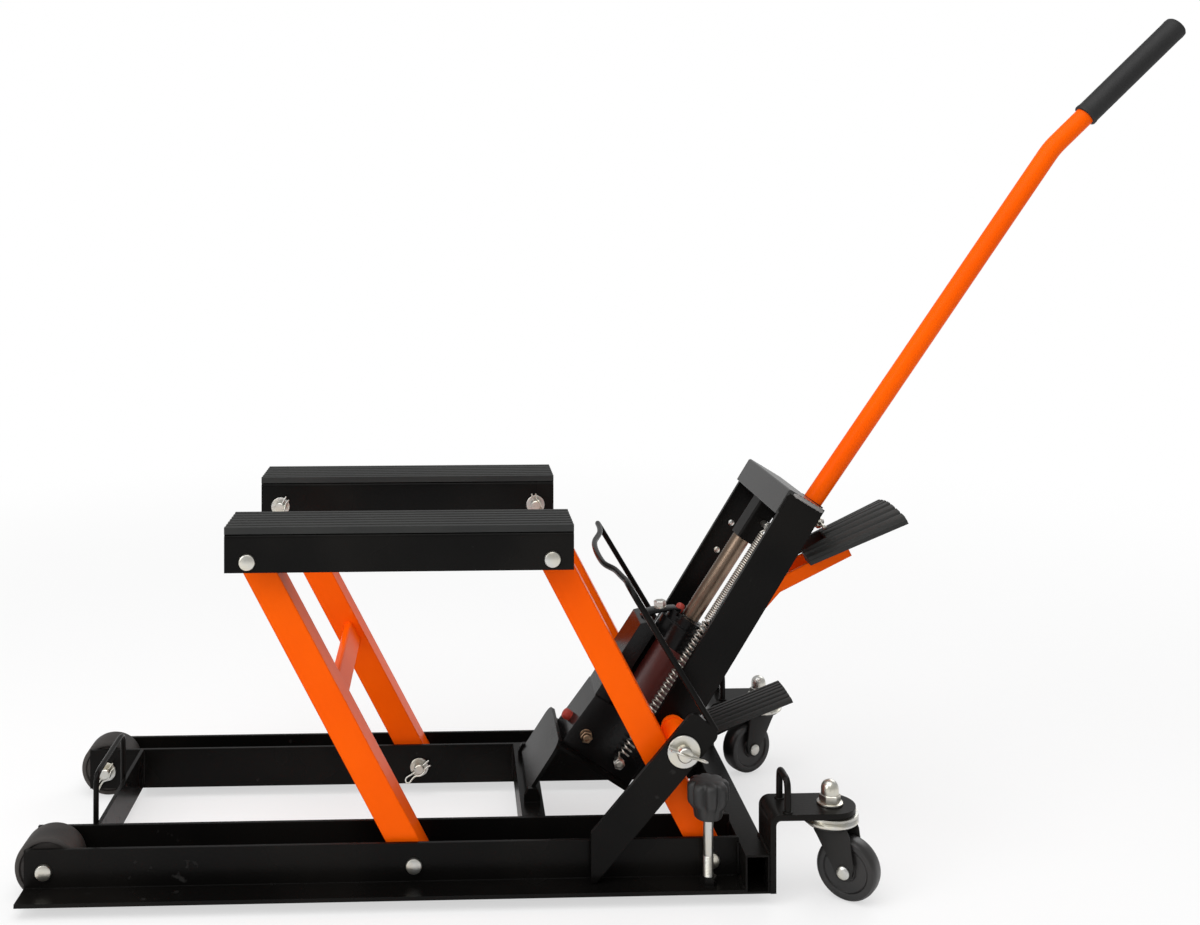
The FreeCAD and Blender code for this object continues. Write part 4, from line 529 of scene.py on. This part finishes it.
def caster(near, side, heading):
    swivel = Matrix.Translation(at(463, side * 160, 0)) @ Matrix.Rotation(math.radians(heading), 4, "Z")
    fork = f"caster_{near}"
    race = turn_up(f"race_{near}", [(76.0, 25.0), (76.0, 27.6), (77.2, 29.0), (79.0, 29.0), (80.0, 27.4),
                                    (81.0, 26.6), (82.0, 27.4), (83.2, 29.0), (85.4, 28.4), (85.6, 26.0)], 64)
    race.matrix_world = swivel
    fit(race, fork, zinc)
    for end in (-1, 1):
        cheek = soften(slab(f"cheek_{near}_{end + 1}", CHEEK, 2.5), 0.7)
        cheek.matrix_world = swivel @ Matrix.Translation((0.0, end * 0.01375, 0.0))
        fit(cheek, fork, fork_coat)
    crown = turn_up(f"crown_{near}", [(73.2, 15.0), (73.2, 24.5), (76.0, 26.5)], 48)
    crown.matrix_world = swivel
    fit(crown, fork, fork_coat)
    axle = turn_up(f"axle_{near}", [(-18.6, 3.4), (-18.2, 5.0), (-17.0, 6.6), (-15.0, 6.6), (-15.0, 4.0),
                                    (15.0, 4.0), (15.0, 6.6), (17.0, 6.6), (18.2, 5.0), (18.6, 3.4)])
    lying = Matrix.Rotation(math.pi / 2, 4, "X")
    axle.matrix_world = swivel @ Matrix.Translation((TRAIL, 0.0, WHEEL_UP)) @ lying
    fit(axle, fork, zinc)
    washer = turn_up(f"stem_washer_{near}", [(92.4, 13.0), (92.6, 13.3), (94.2, 13.3), (94.4, 13.0)])
    nut = hexagon(f"stem_nut_{near}", 19.0, 8.0, 94.4)
    dome = turn_up(f"stem_dome_{near}", [(84.0, 6.0), (102.2, 6.0), (102.4, 9.0), (108.6, 9.0), (111.6, 8.3),
                                         (114.2, 6.6), (116.0, 4.0), (116.8, 1.4)])
    for part in (washer, nut, dome):
        part.matrix_world = swivel
        fit(part, fork, zinc)
    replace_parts(race, f"caster_fork_{near}")
    wheel = turn_up(f"wheel_{near}_moulded", [
        (-10.0, 5.0), (-11.0, 8.0), (-11.0, 10.0), (-8.6, 11.4), (-8.6, 22.0), (-10.4, 23.4), (-11.0, 26.0),
        (-10.2, 29.2), (-7.6, 31.1), (-3.6, 31.75), (3.6, 31.75), (7.6, 31.1), (10.2, 29.2), (11.0, 26.0),
        (10.4, 23.4), (8.6, 22.0), (8.6, 11.4), (11.0, 10.0), (11.0, 8.0), (10.0, 5.0)], 72)
    wheel.matrix_world = swivel @ Matrix.Translation((TRAIL, 0.0, WHEEL_UP)) @ lying
    fit(wheel, f"wheel_{near}", wheel_black)
    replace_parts(wheel, f"caster_wheel_{near}")


caster("near", -1, -36.9)
caster("far", 1, -152.2)


# The levelling screws: bright threaded rods with moulded black knobs of eight lobes.
# Each turns in a nut welded on the rail's flange, and its foot is just above the floor.

knob_plastic = moulded("knob_plastic", (0.010, 0.010, 0.010, 1.0), (0.022, 0.021, 0.02, 1.0), 0.42,
                        420.0, 0.0003)
LOBES = 8


def lobed(name, steps, depth):
    """A moulded knob from (height, radius, share of lobe) steps."""
    height, radius, share = steps[0]
    count = LOBES * 12
    bpy.ops.object.select_all(action="DESELECT")
    bpy.ops.mesh.primitive_circle_add(vertices=count, radius=1.0, fill_type="NGON", location=(0.0, 0.0, 0.0))
    piece = bpy.context.object
    piece.name = name
    bpy.ops.object.mode_set(mode="EDIT")
    bpy.ops.mesh.select_all(action="SELECT")
    for _ in steps[1:]:
        bpy.ops.mesh.extrude_region_move(TRANSFORM_OT_translate={"value": (0.0, 0.0, 1.0)})
    bpy.ops.mesh.select_all(action="SELECT")
    bpy.ops.mesh.normals_make_consistent(inside=False)
    bpy.ops.object.mode_set(mode="OBJECT")
    for vertex in piece.data.vertices:
        height, radius, share = steps[round(vertex.co.z)]
        turn = math.atan2(vertex.co.y, vertex.co.x)
        wave = (0.5 - 0.5 * math.cos(LOBES * turn)) ** 3
        reach = (radius - depth * share * wave) / 1000.0
        vertex.co = (reach * math.cos(turn), reach * math.sin(turn), height / 1000.0)
    return piece


KNOB = [(84.0, 9.0, 0.0), (84.0, 13.0, 0.0), (85.5, 14.5, 0.1), (93.0, 15.5, 0.2), (97.0, 18.5, 0.6),
        (100.0, 20.8, 1.0), (103.0, 21.5, 1.0), (115.0, 21.5, 1.0), (118.5, 20.8, 0.9), (120.8, 18.5, 0.6),
        (122.0, 14.0, 0.1), (122.0, 3.0, 0.0)]
for side, near in ((-1, "near"), (1, "far")):
    knob = lobed(f"knob_{near}", KNOB, 4.2)
    stand(knob, at(335, side * 168, 0), (0.0, 0.0, 1.0))
    fit(knob, f"level_screw_{near}", knob_plastic, 50.0)
    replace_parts(knob, f"level_screw_{near}")
    turns = [(11.0, 4.2), (12.0, 5.0)]
    for i in range(22):
        turns += [(12.6 + i * 1.5, 5.5), (13.35 + i * 1.5, 4.85)]
    turns += [(47.0, 5.3), (84.5, 5.3)]
    stand(turn_up(f"screw_{near}", turns, 24), at(335, side * 168, 0), (0.0, 0.0, 1.0))
    fit(bpy.context.object, f"level_screw_{near}", zinc, 20.0)


# The tower: two flat bars on the tower pins, a folded cap over the ram and the handle's socket.
# Weld beads run along both ends of the cap, and two rivets show on the inside of each bar.

paint(black_coat, "tower_plate_near", "tower_plate_far", "handle_socket")
cap_coat = powder_coat("cap_coat", (0.010, 0.0095, 0.009, 1.0), (0.018, 0.017, 0.016, 1.0), 0.16,
                       0.0012, 0.55)
paint(cap_coat, "tower_cap")
TOWER_LEAN = math.radians(58.5)
tower_along = Vector((math.cos(TOWER_LEAN), 0.0, math.sin(TOWER_LEAN)))
tower_off = Vector((-tower_along.z, 0.0, tower_along.x))
tower_foot = at(310, 0, 150.5)


def on_tower(along, off, y):
    across = Vector((0.0, y / 1000.0, 0.0))
    return tower_foot + tower_along * along / 1000.0 + tower_off * off / 1000.0 + across


# The cap's weld beads get pale grey patches and flecks: painted highlights that stand for the glints on the
# glossy welds.
bead_gloss = powder_coat("bead_gloss", (0.02, 0.019, 0.018, 1.0), (0.30, 0.29, 0.28, 1.0), 0.08, 0.0006, 0.9)
for side, near in ((-1, "near"), (1, "far")):
    weld(f"weld_cap_{near}", on_tower(280.5, -20, side * 95.9), on_tower(280.5, 17, side * 95.9), 0.0027,
         "tower", bead_gloss)
    weld(f"weld_flange_cap_{near}", on_tower(256, 21.5, side * 95.6), on_tower(277, 21.5, side * 95.6), 0.002,
         "tower", black_coat)
    weld(f"weld_socket_plate_{near}", on_tower(241, -18.2, side * 90), on_tower(276, -18.2, side * 90), 0.002,
         "tower", black_coat)
    for along, off in ((167.5, 2.0), (204.5, 4.0)):
        rivet = turn_up(f"rivet_{near}_{int(along)}", [(0.0, 3.8), (0.9, 3.6), (1.7, 2.4), (2.0, 0.8)], 20)
        stand(rivet, on_tower(along, off, side * 90.5), (0.0, -side, 0.0))
        fit(rivet, "tower", zinc)


# The handle: an orange tube with a bend below its black vinyl grip, held by a wing bolt.
# The grip is a plain dipped sleeve with a closed end and a thicker lip.

paint(orange_coat, "handle_tube")
grip_vinyl = moulded("grip_vinyl", (0.006, 0.006, 0.0062, 1.0), (0.012, 0.012, 0.012, 1.0), 0.55,
                      520.0, 0.0005)
HANDLE_LEAN = math.radians(55.4)
handle_lean = Vector((math.cos(HANDLE_LEAN), 0.0, math.sin(HANDLE_LEAN)))
handle_top = at(489, 0, 372)
bend = handle_top + handle_lean * (at(769, 0, 779) - handle_top).dot(handle_lean)
grip_end = at(919, 0, 922)
grip_end -= (grip_end - at(804, 0, 821)).normalized() * 0.007
grip_dir = (grip_end - bend).normalized()
grip_end += grip_dir * 0.007
GRIP_LONG = 153.06
grip = turn_up("grip_sleeve", [(0.0, 11.2), (0.0, 13.6), (0.8, 14.0), (4.0, 14.0), (5.0, 13.5), (10.0, 13.4),
                               (140.0, 13.4), (146.0, 13.7), (150.2, 13.2), (152.0, 11.6), (153.0, 8.0),
                               (GRIP_LONG, 3.0)], 56)
stand(grip, grip_end - grip_dir * GRIP_LONG / 1000.0, grip_dir)
fit(grip, "handle", grip_vinyl)
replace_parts(grip, "handle_grip")


# The wing bolt: a plated bolt with two cast wings, through the socket against the handle.
# It points away from the saddles, and its wings stand across the handle.

wing_dir = Vector((handle_lean.z, 0.0, -handle_lean.x))
wing_foot = handle_top + handle_lean * (on_tower(267, 0, 0) - handle_top).dot(handle_lean)
stem = turn_up("wing_stem", [(11.0, 3.0), (11.5, 4.0), (18.0, 4.0), (18.0, 6.0), (19.0, 6.6), (22.5, 6.4),
                             (24.2, 5.2), (25.0, 2.2)], 28)
stand(stem, wing_foot, wing_dir)
fit(stem, "wing_bolt", zinc)
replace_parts(stem, "wing_bolt")
WINGS = [(-5.8, 18.0), (-10.0, 20.0), (-12.0, 23.5), (-11.4, 27.5), (-8.8, 29.0), (-6.2, 27.0), (-4.8, 23.4),
         (0.0, 22.2), (4.8, 23.4), (6.2, 27.0), (8.8, 29.0), (11.4, 27.5), (12.0, 23.5), (10.0, 20.0),
         (5.8, 18.0)]
wings = soften(slab("wings", WINGS, 4.0), 1.2, 3)
frame_of_wings = Matrix(((0.0, wing_dir.z, wing_dir.x), (1.0, 0.0, 0.0),
                         (0.0, -wing_dir.x, wing_dir.z))).to_4x4()
wings.matrix_world = Matrix.Translation(wing_foot) @ frame_of_wings
fit(wings, "wing_bolt", zinc)


# The jack: a glossy black cast base and barrel in a folded cradle, with a slotted neck.
# It has a red filler plug, a dull brass valve, a plated guard bolt and a bare satin label.

JACK_LEAN, BARREL_OFF = math.radians(57.0), -60.7
jack_along = Vector((math.cos(JACK_LEAN), 0.0, math.sin(JACK_LEAN)))
jack_off = Vector((-jack_along.z, 0.0, jack_along.x))
jack_hinge = at(161, 0, 64)


def on_jack(along, off, y=0.0):
    return jack_hinge + jack_along * along / 1000.0 + jack_off * off / 1000.0 + Vector((0.0, y / 1000.0, 0.0))


jack_gloss = powder_coat("jack_gloss", (0.005, 0.005, 0.0052, 1.0), (0.010, 0.009, 0.0088, 1.0), 0.13, 0.0022)
paint(jack_gloss, "jack_base", "jack_barrel")
paint(black_coat, "jack_cradle")
red_plug = moulded("red_plug", (0.30, 0.018, 0.010, 1.0), (0.40, 0.035, 0.02, 1.0), 0.38, 300.0, 0.0002)
brass = plated("brass", (0.36, 0.24, 0.15, 1.0), (0.26, 0.18, 0.12, 1.0), 0.3)
label_film = moulded("label_film", (0.050, 0.009, 0.007, 1.0), (0.085, 0.012, 0.009, 1.0), 0.3,
                      120.0, 0.00008)

plug = turn_up("filler_plug", [(-1.0, 5.6), (1.5, 5.6), (1.5, 6.0), (6.0, 6.0), (7.8, 5.2), (8.7, 3.4),
                               (9.0, 1.0)], 28)
stand(plug, on_jack(79, -4.6), jack_off)
fit(plug, "jack", red_plug)
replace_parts(plug, "jack_fittings")
valve = turn_up("valve_flange", [(-1.0, 6.6), (1.6, 6.8), (2.0, 6.4), (2.0, 5.4), (9.0, 5.4), (9.0, 4.6),
                                 (12.4, 4.6), (13.0, 4.0), (13.0, 2.6), (10.0, 2.4)], 32)
stand(valve, on_jack(79, -23, -32), (0.0, -1.0, 0.0))
fit(valve, "jack", brass)
valve_nut = stand(hexagon("valve_nut", 12.0, 6.0, 3.0), on_jack(79, -23, -32), (0.0, -1.0, 0.0), 0.3)
fit(valve_nut, "jack", brass)
STRAP = [(-10.0, 219.0), (-10.0, 225.0), (-18.0, 234.0), (-30.0, 243.0), (-38.0, 249.0), (-46.0, 251.0),
         (-46.0, 247.0), (-38.0, 245.0), (-30.0, 238.0), (-22.0, 230.0), (-17.0, 219.0)]
jack_turn = Matrix(((jack_off.x, 0.0, jack_along.x), (0.0, -1.0, 0.0),
                    (jack_off.z, 0.0, jack_along.z))).to_4x4()
strap = soften(slab("guard_strap", STRAP, 15.0), 1.2, 3)
strap.matrix_world = Matrix.Translation(jack_hinge) @ jack_turn
fit(strap, "jack", jack_gloss)
strap_out = (jack_along + jack_off * 0.75).normalized()
strap_top = on_jack(239.0, -25.0)
guard_washer = stand(turn_up("guard_washer", [(0.0, 7.0), (1.4, 7.0), (1.6, 6.6)]), strap_top, strap_out)
fit(guard_washer, "jack", zinc)
guard_bolt = stand(hexagon("guard_bolt", 12.0, 6.5, 1.6), strap_top, strap_out, 0.4)
fit(guard_bolt, "jack", zinc)
seal = turn_up("ram_seal", [(246.0, 14.0), (247.2, 14.0), (247.9, 13.0), (248.1, 11.5), (248.1, 10.2)], 48)
stand(seal, on_jack(0, BARREL_OFF), jack_along)
fit(seal, "jack", jack_gloss)
bleed = turn_up("bleed_plug", [(246.5, 5.0), (253.0, 5.0), (255.0, 4.2), (256.0, 2.4)], 28)
stand(bleed, on_jack(0, -44.5), jack_along)
fit(bleed, "jack", red_plug)

bpy.ops.object.select_all(action="DESELECT")
bpy.ops.mesh.primitive_cylinder_add(vertices=96, radius=0.03012, depth=0.078, end_fill_type="NOTHING",
                                    location=(0.0, 0.0, 0.0))
label = bpy.context.object
label.name = "bare_label"
bpy.ops.object.mode_set(mode="EDIT")
bpy.ops.mesh.select_all(action="DESELECT")
bpy.ops.object.mode_set(mode="OBJECT")
for face in label.data.polygons:
    face.select = face.center.y > -0.017
bpy.ops.object.mode_set(mode="EDIT")
bpy.ops.mesh.delete(type="FACE")
bpy.ops.object.mode_set(mode="OBJECT")
film = label.modifiers.new("film", "SOLIDIFY")
film.thickness = 0.0002
film.offset = 1.0
bpy.ops.object.modifier_apply(modifier="film")
stand(label, on_jack(172, BARREL_OFF), jack_along)
fit(label, "jack", label_film)

SPRING_OFF = -68.5
for level, along in (("lower", 75), ("upper", 385)):
    body = "jack" if level == "lower" else "ram"
    rod = stand(turn_up(f"spring_rod_{level}", [(-46.0, 3.0), (-45.0, 4.0), (45.0, 4.0), (46.0, 3.0)], 24),
                on_jack(along, SPRING_OFF), (0.0, 1.0, 0.0))
    fit(rod, body, zinc)
    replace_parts(rod, f"spring_bolt_{level}")
    for side in (-1, 1):
        place = on_jack(along, SPRING_OFF, side * 42.2)
        nut = stand(hexagon(f"spring_nut_{level}_{side + 1}", 11.5, 3.4), place, (0.0, side, 0.0), 0.2)
        fit(nut, body, zinc)


# The ram: a polished rod in the barrel, and the painted block that lifts the tower's cap.
# The rod shows fine rings from grinding and a thin film of oil.

def ground_steel(name, colour, dark, roughness, along):
    material, shader, places = surface(name, roughness, 1.0)
    rings = places.stretched(along, (900.0, 30.0, 30.0)).noise(1.0, 2.0)
    film = places.noise(26.0, 3.0)
    feed(shader, Base_Color=film.between(0.35, 0.7).blend(colour, dark),
         Roughness=roughness + rings * 0.1 + film * 0.1,
         Normal=relief(places, rings, 0.1, 0.00008, 0.0004))
    return material


rod_steel = ground_steel("rod_steel", (0.26, 0.19, 0.14, 1.0), (0.18, 0.13, 0.095, 1.0), 0.26, jack_along)
paint(rod_steel, "ram_rod")
block_coat = powder_coat("block_coat", (0.004, 0.0038, 0.0036, 1.0), (0.008, 0.007, 0.0065, 1.0), 0.3,
                         0.002, 0.08)
paint(block_coat, "ram_head")


# The return springs: bright drawn wire, open coils below and close coils above.
# Each hangs by its hooks from the two cross bolts and draws the ram back.

spring_wire = plated("spring_wire", (0.56, 0.53, 0.47, 1.0), (0.44, 0.42, 0.38, 1.0), 0.26)
COIL, WIRE, LOW, HIGH = 5.4, 1.15, 84.0, 376.0
OPEN_TURNS, CLOSE_TURNS, CLOSE_SHARE = 31, 43, 0.39
SPRING_Y, HOOK = 40, 5.1
for side, near in ((-1, "near"), (1, "far")):
    places = []
    height, turn, steps = LOW, 0.0, 12
    for turns, share in ((OPEN_TURNS, 1.0 - CLOSE_SHARE), (CLOSE_TURNS, CLOSE_SHARE)):
        for _ in range(turns * steps):
            places.append(on_jack(height, SPRING_OFF + COIL * math.cos(turn),
                                  side * SPRING_Y + COIL * math.sin(turn)))
            height += (HIGH - LOW) * share / turns / steps
            turn += 2 * math.pi / steps
    coil = wire(f"spring_{near}_coils", places, WIRE / 1000.0, sides=1)
    fit(coil, "jack", spring_wire, 80.0)
    tuple(on_jack(LOW, SPRING_OFF))
    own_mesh(coil)
    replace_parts(coil, f"return_spring_{near}")
    for level, centre, facing, end in (("lower", 75.0, 1, LOW), ("upper", 385.0, -1, HIGH)):
        hook = [on_jack(end + facing * 0.6, SPRING_OFF + COIL, side * SPRING_Y),
                on_jack(end - facing * 1.5, SPRING_OFF + 4.2, side * SPRING_Y)]
        for i in range(11):
            turn = math.radians(35 - i * 30)
            hook.append(on_jack(centre + facing * HOOK * math.cos(turn), SPRING_OFF + HOOK * math.sin(turn),
                                side * SPRING_Y))
        loop = wire(f"spring_{near}_{level}_hook", hook, WIRE / 1000.0, kind="NURBS", sides=2)
        fit(loop, "jack" if level == "lower" else "ram", spring_wire, 80.0)


# The pedals: an orange pump lever with a wide ribbed rubber pad, and a black release lever.
# The rubber is moulded over a plate, matt, with a fine grain.

pedal_rubber = moulded("pedal_rubber", (0.006, 0.0065, 0.0055, 1.0), (0.013, 0.0135, 0.012, 1.0), 0.48,
                        620.0, 0.0004, 0.0012)
paint(orange_coat, "pump_lever")
paint(black_coat, "release_lever")


def ribbed_pad(name, place, slope, long, halves, thick, crown, tuck, ribs, slot_deep=0.0):
    """A rubber pad with ribs along it, crowned across and tucked in below its edges."""
    low, wide = halves
    rise = 3.0
    skyline = []
    for i in range(ribs):
        for share, lift in ((0.1, 0.0), (0.2, rise), (0.8, rise), (0.9, 0.0)):
            across = -1.0 + 2.0 * (i + share) / ribs
            skyline.append((across * wide, lift - rise - crown * abs(across) ** 1.5))
    edge = -rise - crown
    outline = [(-wide, edge)] + skyline + [(wide, edge), (wide, tuck - thick), (wide * 0.45, -thick),
                                           (-wide * 0.45, -thick), (-wide, tuck - thick)]
    piece = slab(name, outline, long)
    for vertex in piece.data.vertices:
        if vertex.co.y < 0.0:
            vertex.co.x *= low / wide
    if slot_deep:
        bpy.ops.object.select_all(action="DESELECT")
        bpy.ops.mesh.primitive_cube_add(size=1.0, location=(0.0, (slot_deep - long) / 2000.0, 0.0),
                                        scale=(0.03, slot_deep / 1000.0 + 0.002, 0.1))
        cutter = bpy.context.object
        alone(piece)
        cut = piece.modifiers.new("cut", "BOOLEAN")
        cut.object = cutter
        cut.solver = "EXACT"
        bpy.ops.object.modifier_apply(modifier="cut")
        bpy.data.objects.remove(cutter)
    soften(piece, 0.5)
    lean = math.radians(slope)
    run, up = Vector((math.cos(lean), 0.0, math.sin(lean))), Vector((-math.sin(lean), 0.0, math.cos(lean)))
    turn = Matrix(((0.0, run.x, up.x), (-1.0, 0.0, 0.0), (0.0, run.z, up.z))).to_4x4()
    piece.matrix_world = Matrix.Translation(place + run * long / 2000.0) @ turn
    return piece


pump_pad = ribbed_pad("pump_pad", at(470, 0, 321), 24.3, 118.0, (38.0, 49.0), 16.0, 8.0, 0.0, 7, 32.0)
fit(pump_pad, "pump_pedal", pedal_rubber)
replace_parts(pump_pad, "pump_pedal")
release_pad = ribbed_pad("release_pad", at(364, 0, 122), 21.0, 98.0, (33.0, 33.0), 11.0, 3.0, 4.5, 7)
fit(release_pad, "release_pedal", pedal_rubber)
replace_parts(release_pad, "release_pedal")


# The safety prop: two flat bars on the tower pins and the bent wire that lifts them together.
# The wire comes up from both bars and has a shallow wave across the top.

paint(black_coat, "prop_bar_near", "prop_bar_far")
BAIL_WAVE = [(163, 0), (125, 0), (92, -2), (62, -11), (40, -16), (0, -18), (-40, -17), (-64, -15), (-80, -6),
             (-102, -4), (-130, 0), (-163, 0)]
sweep = [at(256 + push, across, 316) for across, push in reversed(BAIL_WAVE)]
bail = []
for across, crest, toward in ((-163, sweep[0], sweep[1]), (163, sweep[-1], sweep[-2])):
    foot = at(341.7, across, 173.4)
    up = (crest - foot).normalized()
    bail.append([foot - up * 0.004, foot + up * 0.06, crest - up * 0.03, crest - up * 0.012,
                 crest + (toward - crest).normalized() * 0.012, crest + (toward - crest).normalized() * 0.03])
points = bail[0] + sweep[1:-1] + list(reversed(bail[1]))
lifter = fit(wire("bail_wire", points, 0.0033, kind="NURBS", sides=4), "prop", black_coat,
             80.0)
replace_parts(lifter, "prop_bail")
for side, near in ((-1, "near"), (1, "far")):
    foot = at(310, side * 163, 150.5)
    lean = Vector((math.cos(math.radians(49.5)), 0.0, math.sin(math.radians(49.5))))
    off = Vector((-lean.z, 0.0, lean.x))
    middle = foot + lean * 0.034 - off * 0.0135
    weld(f"weld_bail_{near}_side", middle + off * 0.005 - lean * 0.006, middle + off * 0.005 + lean * 0.004,
         0.0016, "prop", black_coat)
